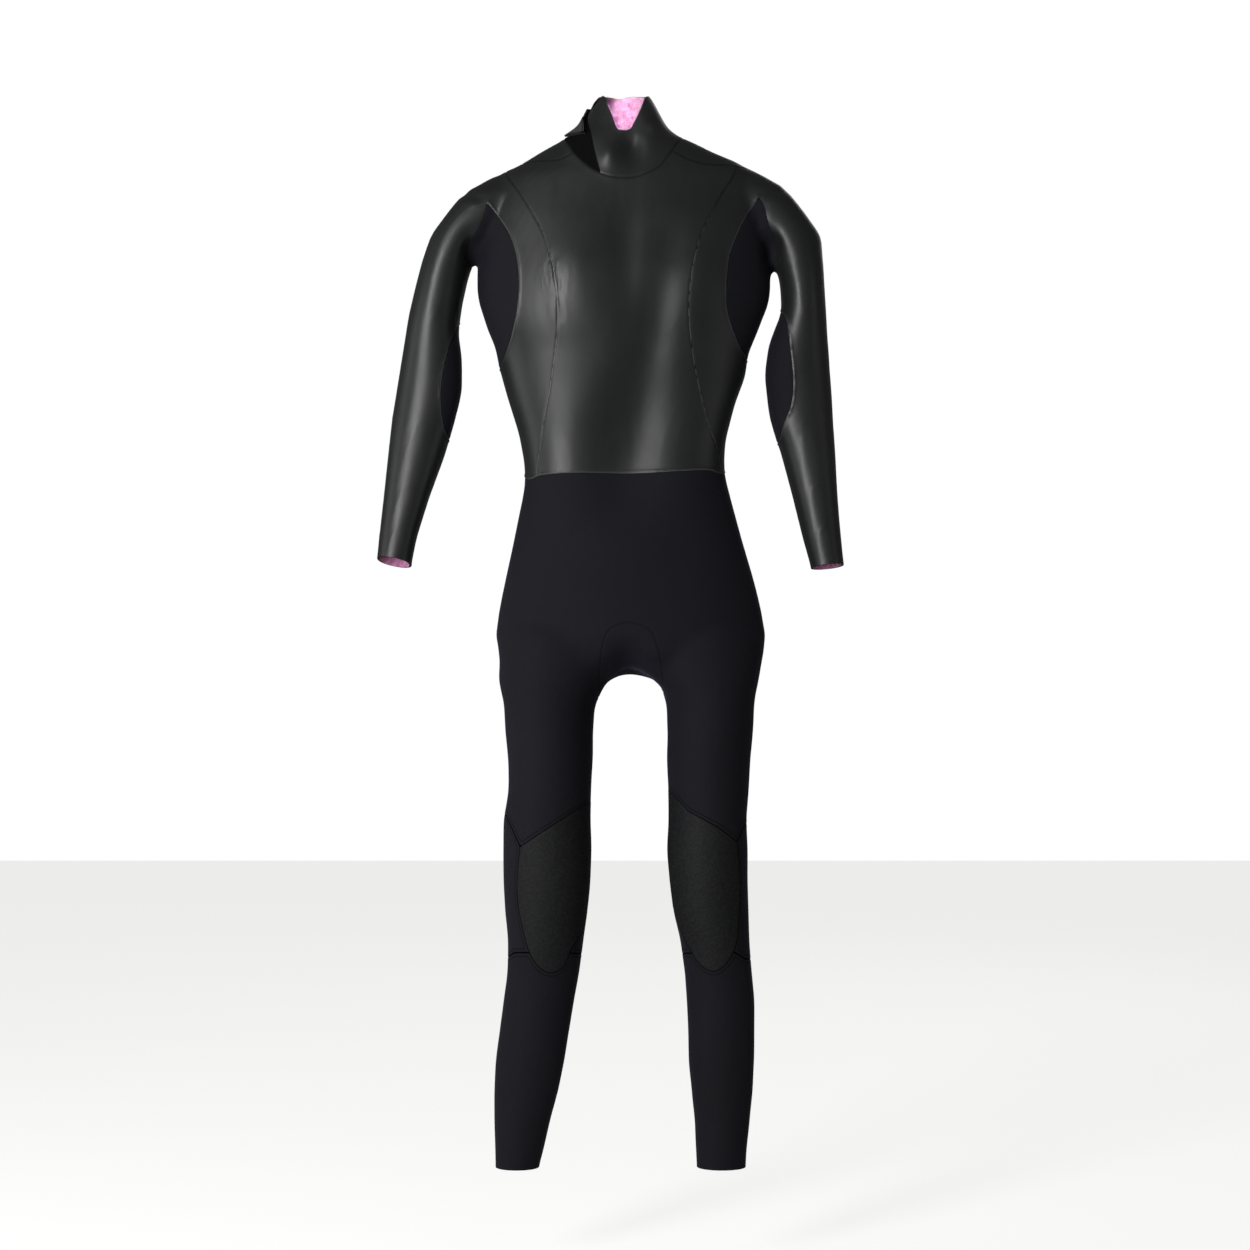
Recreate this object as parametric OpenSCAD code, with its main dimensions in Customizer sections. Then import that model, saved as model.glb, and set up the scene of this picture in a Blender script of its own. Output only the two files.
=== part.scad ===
// Women's full wetsuit, hung upright by its neck: smooth-skin top, jersey trousers, back zip.
// +Z is up, the chest faces -Y, and the origin is the middle of the neck opening at collar-base height.
// The wearer's right side is -X. Every panel is cut out of one shell by its own seam outline.

/* [Neoprene] */
// Thickness of the body panels
wall = 3; // [2.5:0.5:4]
// Thickness of the hook tab's sheet
tab_wall = 2.6; // [2:0.2:3]

/* [Collar] */
// Height of the collar's rim above its base
collar_top = 66; // [60:1:70]
// Depth of the dip at the front of the rim
notch_depth = 40; // [25:1:42]

/* [Back zip] */
// Length of the tooth chain
zip_length = 372; // [300:1:375]
// Distance from one tooth to the next
tooth_pitch = 4; // [3:0.5:6]
// Width of each tape
tape_width = 9; // [8:0.5:12]
// Length of the pull
pull_length = 40; // [30:1:60]
// Radius of the leash eye in the pull
eye_r = 2.5; // [2:0.1:3]

/* [Limb bending zones] */
// Height of the elbow axis
elbow_z = -287; // [-290:1:-284]
// Half length of the sleeve that flexes at the elbow
elbow_flex = 42; // [40:1:44]

/* [Hidden] */

skin = "#2c2e2e";
jersey = "#181922";
pad_cloth = "#202123";
loop_cloth = "#0b0b0c";
black_plastic = "#151515";

far = 400;          // reach of a cutting prism past the suit
sides = 28;         // corners of a limb or torso slice
slice_h = 0.02;     // height of a slice in a loft
gap = 0.3;          // clearance between bodies that move apart

// The centre of the back is one straight line from nape to waist, so that the zip lies straight.
nape_y = 54;
waist_back_y = 70;
waist_z = -406;
zip_lean = atan((waist_back_y - nape_y) / -waist_z);
function back_y(z) = nape_y + (waist_back_y - nape_y) * z / waist_z;

// Stations, top to bottom: [z, lowest x, highest x, depth in front, depth behind, y of the middle].
torso_rows = [
    [8, -80, 80, 46, back_y(0), 0],
    [0, -94, 94, 50, back_y(0), 0],
    [-14, -121, 121, 52, back_y(-14), 0],
    [-29, -160, 160, 55, back_y(-29), 0],
    [-50, -187, 189, 60, back_y(-50), 0],
    [-72, -186, 187, 66, back_y(-72), 0],
    [-105, -183, 184, 73, back_y(-105), 0],
    [-144, -181, 181, 80, back_y(-144), 0],
    [-187, -181, 180, 86, back_y(-187), 0],
    [-225, -174, 170, 88, back_y(-225), 0],
    [-260, -162, 156, 84, back_y(-260), 0],
    [-312, -148, 146, 76, back_y(-312), 0],
    [-360, -134, 135, 70, back_y(-360), 0],
    [waist_z, -125, 127, 68, waist_back_y, 0],
    [-437, -127, 131, 70, 73, 0],
    [-485, -137, 143, 76, 81, 0],
    [-540, -149, 158, 82, 94, 0],
    [-585, -159, 171, 84, 102, 0],
    [-628, -157, 171, 80, 100, 0],
    [-650, -126, 138, 68, 86, 0],
    [-662, -34, 42, 34, 46, 0],
];
right_leg_rows = [
    [-560, -135, -30, 50, 68, 0],
    [-600, -157, -4, 73, 92, 0],
    [-640, -160, -8, 80, 101, 0],
    [-668, -160, -20, 78, 97, 0],
    [-690, -159, -34, 76, 93, 0],
    [-725, -154, -40, 73, 86, 0],
    [-800, -154, -41, 68, 72, 0],
    [-875, -153, -43, 64, 58, 0],
    [-937, -150, -46, 60, 52, 0],
    [-987, -148, -52, 52, 54, 0],
    [-1025, -149, -58, 46, 58, 0],
    [-1070, -153, -65, 43, 62, 0],
    [-1119, -159, -74, 42, 60, 0],
    [-1175, -163, -85, 39, 52, 0],
    [-1231, -164, -99, 36, 43, 0],
    [-1276, -165, -106, 34, 38, 0],
];
left_leg_rows = [
    [-560, 34, 146, 50, 68, 0],
    [-600, 8, 169, 73, 92, 0],
    [-640, 13, 171, 80, 101, 0],
    [-668, 34, 166, 78, 97, 0],
    [-690, 51, 161, 76, 93, 0],
    [-725, 54, 158, 73, 86, 0],
    [-800, 54, 154, 68, 72, 0],
    [-875, 53, 153, 64, 58, 0],
    [-937, 59, 154, 60, 52, 0],
    [-987, 71, 156, 52, 54, 0],
    [-1025, 76, 159, 46, 58, 0],
    [-1070, 78, 161, 43, 62, 0],
    [-1119, 79, 161, 42, 60, 0],
    [-1175, 84, 159, 39, 52, 0],
    [-1231, 88, 154, 36, 43, 0],
    [-1276, 90, 150, 34, 38, 0],
];
right_arm_rows = [
    [-50, -196, -160, 16, 16, 0],
    [-64, -208, -160, 30, 30, 0],
    [-82, -221, -164, 38, 38, 0],
    [-116, -241, -176, 43, 43, 0],
    [-144, -251, -186, 43, 43, 0],
    [-187, -265, -197, 41, 41, 0],
    [-237, -275, -207, 39, 39, 0],
    [-287, -284, -204, 38, 40, 0],
    [-337, -290, -212, 36, 38, -3],
    [-387, -295, -226, 33, 34, -8],
    [-437, -300, -244, 29, 30, -14],
    [-487, -305, -259, 26, 26, -20],
    [-524, -308, -266, 25, 25, -25],
];
left_arm_rows = [
    [-44, 160, 200, 16, 16, 0],
    [-62, 160, 211, 30, 30, 0],
    [-80, 164, 223, 38, 38, 0],
    [-104, 174, 240, 42, 42, 0],
    [-144, 186, 246, 43, 43, 0],
    [-187, 189, 250, 41, 41, 0],
    [-237, 181, 254, 39, 39, 0],
    [-287, 175, 258, 38, 40, 0],
    [-337, 182, 259, 36, 38, -3],
    [-387, 196, 261, 33, 34, -8],
    [-437, 209, 264, 29, 30, -14],
    [-487, 221, 268, 26, 26, -20],
    [-522, 230, 271, 25, 25, -25],
];
collar_rows = [
    [collar_top, -30, 30, 34, 40, 4],
    [54, -39, 38, 38, 41, 3],
    [39, -47, 46, 43, 44, 2],
    [24, -59, 57, 49, 47, 0],
    [10, -78, 76, 53, 50, 0],
    [-45, -84, 82, 56, 52, 0],
];

// Seam outlines as seen from the front: [x, z]. Both sides mirror the same curves.
shoulder_seam = [[52, 60], [52, 0], [59, -3], [94, -19], [141, -24], [150, -24]];
sleeve_head = [[150, 90], [150, -24], [160, -45]];
armhole_apex = [172, -64];
gusset_body_seam = [[156, -84], [141, -112], [133, -140], [129, -175], [131, -200], [136, -225], [152, -268]];
gusset_arm_seam = [[180, -90], [187, -108], [192, -130], [194, -142]];
princess_seam = [[140, -20], [140, -33], [125, -56], [100, -102], [84, -162], [82, -208],
    [90, -280], [101, -340], [112, -400]];
knee_outer = [151, -838];
knee_corner = [134, -867];
knee_inner = [49, -806];
knee_inseam = [20, -786];
pad_outer_edge = [[139, -893], [141, -923], [138, -961], [128, -1004]];
pad_foot = [[120, -1017], [108, -1026], [97, -1026], [84, -1017], [77, -1004]];
pad_inner_edge = [[62, -976], [50, -940], [36, -890], [24, -850]];
shin_seam_z = -1008;
floor_z = -1400;
crotch_arch = [[-32, -690], [-32, -660], [-27, -622], [-14, -600], [3, -592], [20, -599],
    [34, -622], [40, -650], [42, -690]];
right_gap = [[-183.5, -142], [-184, -165], [-187, -190], [-188, -240], [-178, -400], [-178, -560]];
left_gap = [[183.5, -142], [184.5, -165], [184.5, -190], [173, -237], [166, -287], [176, -420], [176, -560]];

// Superellipse slice of the body, drawn in by inset.
function slice_outline(row, inset, power) =
    let (hw = (row[2] - row[1]) / 2 - inset, cx = (row[2] + row[1]) / 2)
    [for (i = [0:sides - 1])
        let (a = 360 * i / sides, c = cos(a), s = sin(a),
             d = (s < 0 ? row[3] : row[4]) - inset)
        [cx + hw * sign(c) * pow(abs(c), 2 / power), row[5] + d * sign(s) * pow(abs(s), 2 / power)]];

module slice(row, inset, power, drop = 0) {
    translate([0, 0, row[0] - drop]) linear_extrude(slice_h) polygon(slice_outline(row, inset, power));
}

module loft(rows, inset, power = 2, run_out = 0) {
    for (i = [0:len(rows) - 2]) hull() {
        slice(rows[i], inset, power);
        slice(rows[i + 1], inset, power);
    }
    last = rows[len(rows) - 1];
    if (run_out > 0) hull() {
        slice(last, inset, power);
        slice(last, inset, power, run_out);
    }
}

// Closed ends of the inner form stay a wall's thickness inside the shoulders and the crotch.
function drawn_in(rows, lower) =
    [for (r = rows) [r[0] - (r[0] > waist_z ? lower : -lower), r[1], r[2], r[3], r[4], r[5]]];

// The whole body as one solid, without the collar.
module body_form(inset, lower = 0, run_out = 0) {
    loft(drawn_in(torso_rows, lower), inset, 2.3);
    loft(right_leg_rows, inset, 2.1, run_out);
    loft(left_leg_rows, inset, 2.1, run_out);
    translate([0, 0, -lower]) loft(right_arm_rows, inset, 2.1, run_out);
    translate([0, 0, -lower]) loft(left_arm_rows, inset, 2.1, run_out);
}

module collar_form(inset, run_out = 0) {
    loft(collar_rows, inset, 2.2);
    if (run_out > 0) hull() {
        slice(collar_rows[0], inset, 2.2);
        slice(collar_rows[0], inset, 2.2, -run_out);
    }
}

module body_shell() {
    difference() {
        body_form(0);
        body_form(wall, wall, 12);
        collar_form(wall, 5);
    }
}

module collar_shell(outside = 0, thickness = wall) {
    difference() {
        collar_form(-outside);
        collar_form(thickness - outside, 5);
        body_form(0);
    }
}

// A prism along Y over a front-view outline, from y0 to y1.
module prism(points, y0 = -far, y1 = far) {
    translate([0, y1, 0]) rotate([90, 0, 0]) linear_extrude(y1 - y0) polygon(points);
}

function mirrored(points, side) = [for (p = points) [side * p[0], p[1]]];
function reversed(points) = [for (i = [len(points) - 1:-1:0]) points[i]];

// side is -1 for the wearer's right and 1 for the left.
module sleeve_zone(side) {
    gap_line = side < 0 ? right_gap : left_gap;
    prism(concat(
        mirrored(sleeve_head, side), mirrored([armhole_apex], side),
        mirrored(gusset_arm_seam, side), gap_line, mirrored([[360, -560], [360, 90]], side)));
}

module gusset_zone(side) {
    gap_line = side < 0 ? right_gap : left_gap;
    prism(concat(
        mirrored([armhole_apex], side), mirrored(gusset_body_seam, side),
        [[side * 163, -287]], [gap_line[3], gap_line[2], gap_line[1], gap_line[0]],
        reversed(mirrored(gusset_arm_seam, side))));
}

// The jersey strip inside the arm, from the armpit to below the elbow.
module inner_arm_zone(side) {
    lens = side < 0
        ? [[-196, -136], [-206, -187], [-213, -228], [-224, -256],
           [-230, -290], [-229, -324], [-218, -366], [-170, -372]]
        : [[195, -136], [197, -187], [202, -228], [206, -256],
           [210, -290], [206, -326], [190, -368], [160, -372]];
    prism(concat(lens, [[side * 160, -136]]));
}

module slab(z0, z1) {
    translate([-far, -far, min(z0, z1)]) cube([2 * far, 2 * far, abs(z1 - z0)]);
}

module front_half() { translate([-far, -far, floor_z]) cube([2 * far, far, 200 - floor_z]); }
module back_half() { translate([-far, 0, floor_z]) cube([2 * far, far, 200 - floor_z]); }
module side_half(side) {
    translate([side < 0 ? -far : 0, -far, floor_z]) cube([far, 2 * far, 200 - floor_z]);
}

module torso_only() {
    difference() {
        intersection() {
            body_shell();
            slab(60, waist_z);
        }
        for (side = [-1, 1]) {
            sleeve_zone(side);
            gusset_zone(side);
        }
    }
}

// The back panels come over the shoulders to a seam in front.
module yoke_zone(side) {
    prism(concat(mirrored(shoulder_seam, side), [[side * 150, 90], [side * 52, 90]]), -far, 0.01);
}

module centre_front_zone() {
    prism(concat([[-140, 90]], mirrored(princess_seam, -1), [[-112, -500], [112, -500]],
                 reversed(princess_seam), [[140, 90]]));
}

module chest_panel() {
    color(skin) difference() {
        intersection() {
            torso_only();
            front_half();
            centre_front_zone();
        }
        yoke_zone(-1);
        yoke_zone(1);
    }
}

module side_panel(side) {
    color(skin) intersection() {
        difference() {
            torso_only();
            centre_front_zone();
            yoke_zone(side);
        }
        front_half();
        side_half(side);
    }
}

// Local frame of the zip: y is out of the back, z up along the back's straight line.
module on_zip_line() {
    translate([0, nape_y, 0]) rotate([zip_lean, 0, 0]) children();
}

zip_start = 2;
tape_top = 6;
slot_half = tape_width + 4;
slot_bottom = zip_start - zip_length;
module zip_slot() {
    on_zip_line() translate([-slot_half, -40, slot_bottom]) cube([2 * slot_half, 80, zip_length + 60]);
}

module back_panel(side) {
    color(skin) difference() {
        intersection() {
            torso_only();
            union() {
                back_half();
                yoke_zone(side);
            }
            side_half(side);
        }
        zip_slot();
    }
}

module underarm_gusset(side) {
    color(jersey) intersection() {
        body_shell();
        gusset_zone(side);
    }
}

module arm_shell(side) {
    intersection() {
        body_shell();
        sleeve_zone(side);
    }
}

module upper_sleeve(side) {
    color(skin) difference() {
        intersection() {
            arm_shell(side);
            slab(60, elbow_z + elbow_flex);
        }
        inner_arm_zone(side);
    }
}

module elbow_sleeve(side) {
    color(skin) difference() {
        intersection() {
            arm_shell(side);
            slab(elbow_z + elbow_flex, elbow_z - elbow_flex);
        }
        inner_arm_zone(side);
    }
}

module lower_sleeve(side) {
    color(skin) difference() {
        intersection() {
            arm_shell(side);
            slab(elbow_z - elbow_flex, -560);
        }
        inner_arm_zone(side);
    }
}

module inner_arm_panel(side) {
    color(jersey) intersection() {
        arm_shell(side);
        inner_arm_zone(side);
    }
}

module lower_body() {
    intersection() {
        body_shell();
        slab(waist_z, floor_z);
    }
}

// Everything above the knee seam of one leg, as a front-view outline that stays clear of the sleeves.
thigh_reach = 185;
module above_knee_front(side) {
    outline = [[-1, -380], [thigh_reach, -380], [thigh_reach, -838],
        knee_outer, knee_corner, knee_inner, knee_inseam, [-1, -786]];
    prism(mirrored(outline, side), -far, 0);
}

module above_knee_back(side) {
    outline = [[0, -380], [thigh_reach, -380], [thigh_reach, -838],
        knee_outer, [100, -842], [30, -838], [0, -838]];
    prism(mirrored(outline, side), 0, far);
}

module crotch_zone() {
    prism(concat(crotch_arch, [[42, -720], [-32, -720]]), -far, 60);
}

module trouser_front() {
    color(jersey) difference() {
        intersection() {
            lower_body();
            union() {
                above_knee_front(-1);
                above_knee_front(1);
            }
        }
        crotch_zone();
    }
}

module trouser_back(side) {
    color(jersey) difference() {
        intersection() {
            lower_body();
            above_knee_back(side);
        }
        crotch_zone();
    }
}

module crotch_gusset() {
    color(jersey) intersection() {
        lower_body();
        crotch_zone();
        slab(-560, -700);
    }
}

module pad_zone(side) {
    outline = concat([knee_corner], pad_outer_edge, pad_foot, pad_inner_edge, [knee_inseam, knee_inner]);
    prism(mirrored(outline, side), -far, 0);
}

module knee_pad(side) {
    color(pad_cloth) intersection() {
        lower_body();
        pad_zone(side);
    }
}

module knee_back(side) {
    color(jersey) difference() {
        intersection() {
            lower_body();
            side_half(side);
            slab(-750, shin_seam_z);
        }
        above_knee_front(side);
        above_knee_back(side);
        pad_zone(side);
    }
}

module lower_leg(side) {
    color(jersey) difference() {
        intersection() {
            lower_body();
            side_half(side);
            slab(shin_seam_z, floor_z);
        }
        pad_zone(side);
    }
}

// Collar: a funnel that leans in from the shoulders, open on the wearer's right side of the neck.
notch_z = collar_top - notch_depth;
module rim_notch() {
    prism([[-28, 90], [-26, collar_top], [-16, notch_z + 26], [-8, notch_z + 6], [-2, notch_z],
           [8, notch_z], [14, notch_z + 7], [25, notch_z + 26], [30, collar_top], [32, 90]], -far, 0);
}

module patch_zone() {
    prism([[-110, 80], [-53, 80], [-51, 47], [-44, 25], [-36, -2], [-30, -60], [-110, -60]], -far, 0);
}

module collar_front() {
    color(skin) difference() {
        intersection() {
            collar_shell();
            front_half();
        }
        rim_notch();
        patch_zone();
    }
}

// The collar parts at the nape above the zip, so that the suit can be put on.
module collar_back(side) {
    color(skin) intersection() {
        collar_shell();
        back_half();
        side_half(side);
    }
}

module collar_loop_patch() {
    color(loop_cloth) intersection() {
        collar_shell(-0.8, wall - 0.8);
        patch_zone();
    }
}

tab_lift = 1.2;     // space between the tab and the collar under it
tab_root_x = -5;
tab_end_y = -24;
module collar_hook_tab() {
    color(skin) intersection() {
        difference() {
            collar_form(-tab_lift - tab_wall);
            collar_form(-tab_lift, 5);
            body_form(-1);
        }
        slab(15, 49);
        linear_extrude(200, center = true) polygon([
            [tab_root_x, 20], [tab_root_x, 90], [-120, 90], [-120, tab_end_y], [-30, tab_end_y], [-30, 20]]);
    }
}

// Zip: two tapes with a tooth chain, a slider that rides on the chain, and a pull that hangs from it.
tape_y = -2.2;          // inner face of the tapes
tape_t = 1.2;
tooth_t = 3;
tooth_w = 4;
chain_gap = 1.4;        // slit between the rows, for the slider's web
chain_y = tape_y + tape_t / 2 - tooth_t / 2;
slider_l = 17;
slider_hw = 7;
plate_t = 1.7;
pin_r = 1.25;
pin_y = 4.4;
pin_drop = 6;
pull_t = 2.2;
pull_hw = 5.5;

module zip_tape(side) {
    color(black_plastic) on_zip_line()
        translate([side < 0 ? -slot_half : chain_gap / 2 + tooth_w, tape_y, slot_bottom])
            cube([slot_half - chain_gap / 2 - tooth_w, tape_t, zip_length + tape_top - zip_start]);
}

module zip_teeth(side) {
    color(black_plastic) on_zip_line()
        for (z = [tooth_pitch : tooth_pitch : zip_length - 8])
            translate([side < 0 ? -chain_gap / 2 - tooth_w : chain_gap / 2, chain_y, zip_start - z - 2])
                cube([tooth_w, tooth_t, tooth_pitch * 0.62]);
}

module zip_top_stops() {
    color(black_plastic) on_zip_line() for (side = [-1, 1])
        translate([side < 0 ? -chain_gap / 2 - tooth_w : chain_gap / 2, chain_y - 0.4, zip_start - 0.9])
            cube([tooth_w, tooth_t + 0.8, 4]);
}

module zip_bottom_stop() {
    color(black_plastic) on_zip_line()
        translate([-chain_gap / 2 - tooth_w, chain_y - 0.4, slot_bottom])
            cube([chain_gap + 2 * tooth_w, tooth_t + 0.8, 5]);
}

// A long flap behind the teeth, held by one edge to the inside of the wearer's left back panel.
flap_half = 30;
flap_room = 3;
flap_t = 2.5;
module zip_underflap() {
    color(jersey) difference() {
        intersection() {
            body_form(wall, wall);
            prism([[-flap_half, -4], [flap_half, -4],
                [flap_half, slot_bottom - 4], [-flap_half, slot_bottom - 4]], 20);
        }
        body_form(wall + flap_room + flap_t, wall);
        on_zip_line() translate([-flap_half - 1, -wall - flap_room, slot_bottom - 20])
            cube([flap_half + slot_half + 8, 20, zip_length + 60]);
    }
}

module zip_slider() {
    color(black_plastic) on_zip_line() translate([0, 0, zip_start - 1.6 - slider_l]) {
        outer_y = chain_y + tooth_t + 0.4;
        inner_y = chain_y - 0.4 - plate_t;
        translate([-slider_hw, outer_y, 0]) cube([2 * slider_hw, plate_t, slider_l]);
        translate([-slider_hw, inner_y, 0]) cube([2 * slider_hw, plate_t, slider_l]);
        translate([-0.4, inner_y + plate_t - 0.1, 0])
            cube([0.8, outer_y - inner_y - plate_t + 0.2, slider_l]);
        for (side = [-1, 1]) {
            lip_x = side < 0 ? -slider_hw : slider_hw - 1.2;
            translate([lip_x, tape_y + tape_t + 0.4, 0])
                cube([1.2, outer_y - tape_y - tape_t - 0.3, slider_l]);
            translate([lip_x, inner_y + plate_t - 0.1, 0])
                cube([1.2, tape_y - 0.3 - inner_y - plate_t, slider_l]);
            translate([side < 0 ? -4.6 : 3.2, outer_y + plate_t - 0.1, slider_l - pin_drop - 2.4])
                cube([1.4, pin_y - outer_y - plate_t + pin_r + 1, 4.8]);
        }
        translate([-4, pin_y, slider_l - pin_drop]) rotate([0, 90, 0]) cylinder(r = pin_r, h = 8, $fn = 32);
    }
}

pull_z = zip_start - 1.6 - pin_drop;
module zip_pull() {
    color(black_plastic) on_zip_line() translate([0, pin_y, pull_z]) difference() {
        union() {
            rotate([0, 90, 0]) cylinder(r = 2.3, h = 6, center = true, $fn = 40);
            translate([-3, -pull_t / 2, -10]) cube([6, pull_t, 10]);
            translate([-pull_hw, -pull_t / 2, -pull_length + 6])
                cube([2 * pull_hw, pull_t, pull_length - 15]);
            translate([0, 0, -pull_length + pull_hw]) rotate([90, 0, 0])
                cylinder(r = pull_hw, h = pull_t, center = true, $fn = 48);
        }
        rotate([0, 90, 0]) cylinder(r = pin_r + 0.07, h = 10, center = true, $fn = 40);
        translate([0, 0, -pull_length + pull_hw]) rotate([90, 0, 0])
            cylinder(r = eye_r, h = 10, center = true, $fn = 40);
    }
}

chest_panel();
side_panel(-1);  // right_side_panel
side_panel(1);  // left_side_panel
back_panel(-1);  // right_back_panel
back_panel(1);  // left_back_panel
underarm_gusset(-1);  // right_underarm_gusset
underarm_gusset(1);  // left_underarm_gusset
upper_sleeve(-1);  // right_upper_sleeve
upper_sleeve(1);  // left_upper_sleeve
elbow_sleeve(-1);  // right_elbow_sleeve
elbow_sleeve(1);  // left_elbow_sleeve
lower_sleeve(-1);  // right_lower_sleeve
lower_sleeve(1);  // left_lower_sleeve
inner_arm_panel(-1);  // right_inner_arm_panel
inner_arm_panel(1);  // left_inner_arm_panel
trouser_front();
trouser_back(-1);  // right_trouser_back
trouser_back(1);  // left_trouser_back
crotch_gusset();
knee_pad(-1);  // right_knee_pad
knee_pad(1);  // left_knee_pad
knee_back(-1);  // right_knee_back
knee_back(1);  // left_knee_back
lower_leg(-1);  // right_lower_leg
lower_leg(1);  // left_lower_leg
collar_front();
collar_back(-1);  // right_collar_back
collar_back(1);  // left_collar_back
collar_loop_patch();
collar_hook_tab();
zip_tape(-1);  // zip_tape_right
zip_tape(1);  // zip_tape_left
zip_teeth(-1);  // zip_teeth_right
zip_teeth(1);  // zip_teeth_left
zip_top_stops();
zip_bottom_stop();
zip_underflap();
zip_slider();
zip_pull();
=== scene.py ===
"""Women's full wetsuit hung upright: smooth-skin neoprene above, jersey below, plush lining inside.

One body surface is skinned over the torso and limbs, cut along the seams into panels, and each panel gets
its neoprene thickness, its lining and its stitched edge. Working units are millimetres.
"""

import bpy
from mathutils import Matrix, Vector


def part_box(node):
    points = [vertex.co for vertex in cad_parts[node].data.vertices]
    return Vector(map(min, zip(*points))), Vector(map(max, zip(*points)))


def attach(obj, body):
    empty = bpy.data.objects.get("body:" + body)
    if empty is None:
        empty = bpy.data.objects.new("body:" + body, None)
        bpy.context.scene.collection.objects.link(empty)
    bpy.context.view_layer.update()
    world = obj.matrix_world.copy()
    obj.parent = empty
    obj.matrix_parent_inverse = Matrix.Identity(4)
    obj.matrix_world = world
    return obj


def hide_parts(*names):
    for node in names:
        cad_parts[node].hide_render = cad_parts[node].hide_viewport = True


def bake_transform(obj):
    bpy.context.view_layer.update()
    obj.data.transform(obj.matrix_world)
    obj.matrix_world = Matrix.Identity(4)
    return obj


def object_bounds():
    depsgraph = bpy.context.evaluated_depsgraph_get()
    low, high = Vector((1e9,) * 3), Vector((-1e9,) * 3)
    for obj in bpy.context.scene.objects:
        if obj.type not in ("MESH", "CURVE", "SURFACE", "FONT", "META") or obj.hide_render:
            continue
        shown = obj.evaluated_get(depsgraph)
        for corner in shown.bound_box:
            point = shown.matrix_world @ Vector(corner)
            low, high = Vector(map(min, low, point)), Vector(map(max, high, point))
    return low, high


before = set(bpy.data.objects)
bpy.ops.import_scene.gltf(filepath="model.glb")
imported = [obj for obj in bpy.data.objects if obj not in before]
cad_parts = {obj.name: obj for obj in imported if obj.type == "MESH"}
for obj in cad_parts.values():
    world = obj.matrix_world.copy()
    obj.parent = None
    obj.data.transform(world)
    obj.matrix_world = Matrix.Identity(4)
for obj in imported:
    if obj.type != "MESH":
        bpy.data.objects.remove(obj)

import copy
import math

import bpy
import numpy as np
from mathutils import Vector

cad_box = [list(corner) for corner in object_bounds()]
MM = 0.001


def mm_box(node):
    """Lowest and highest corner of a node, in millimetres."""
    return tuple(np.array(corner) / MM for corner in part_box(node))


# ---------------------------------------------------------------- driving sizes
WALL = 3.0                                        # neoprene, jersey and lining together
SKIN_CELL = 4.0                                   # mesh size of the skinned body
RIM_Z = mm_box("left_collar_back")[1][2]          # collar rim
WAIST_Z = mm_box("chest_panel")[0][2]
ANKLE_Z = mm_box("right_lower_leg")[0][2]
WRIST_Z = {-1: mm_box("right_lower_sleeve")[0][2], 1: mm_box("left_lower_sleeve")[0][2]}
SLOT = mm_box("zip_tape_left")[1][0]              # half width of the opening for the zip
SLOT_END = mm_box("zip_tape_left")[0][2]
NAPE_Y, WAIST_BACK_Y, BACK_LINE_Z = 54.0, 70.0, -406.0
EYE_DISTANCE, EYE_Z = 3500.0, -596.5             # where the suit is looked at from, in front of it
SIDE_NAME = {-1: "right", 1: "left"}
FAR = 99.0                                        # a distance from any seam


def back_y(z):
    """The middle of the back runs straight, so that the zip lies flat."""
    return NAPE_Y + (WAIST_BACK_Y - NAPE_Y) * z / BACK_LINE_Z


# ---------------------------------------------------------------- small maths
def smooth(t):
    t = np.clip(t, 0, 1)
    return t * t * (3 - 2 * t)


def between(value, low, high):
    """0 below low, 1 above high, with a soft rise; works downwards too."""
    return smooth((value - low) / (high - low))


def spline(points, steps=8):
    """A smooth curve through the points (Catmull-Rom), as an array."""
    p = np.array(points, float)
    p = np.vstack([2 * p[0] - p[1], p, 2 * p[-1] - p[-2]])
    t = (np.arange(steps) / steps)[:, None]
    runs = []
    for a, b, c, d in zip(p[:-3], p[1:-2], p[2:-1], p[3:]):
        runs.append(0.5 * (2 * b + (c - a) * t + (2 * a - 5 * b + 4 * c - d) * t ** 2
                           + (3 * b - a - 3 * c + d) * t ** 3))
    return np.vstack(runs + [p[-2:-1]])


def outline_distance(x, z, outline):
    """Signed distance in the front view to a closed outline, positive inside."""
    a = np.array(outline, float)
    b = np.roll(a, -1, axis=0)
    best = np.full(len(x), 1e9)
    inside = np.zeros(len(x), bool)
    for (ax, az), (bx, bz) in zip(a, b):
        dx, dz = bx - ax, bz - az
        length = dx * dx + dz * dz
        if length < 1e-9:
            continue
        t = np.clip(((x - ax) * dx + (z - az) * dz) / length, 0, 1)
        best = np.minimum(best, (x - ax - t * dx) ** 2 + (z - az - t * dz) ** 2)
        crosses = (az > z) != (bz > z)
        if dz != 0:
            inside ^= crosses & (x < (z - az) / dz * dx + ax)
    best = np.sqrt(best)
    return np.where(inside, best, -best)


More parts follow.
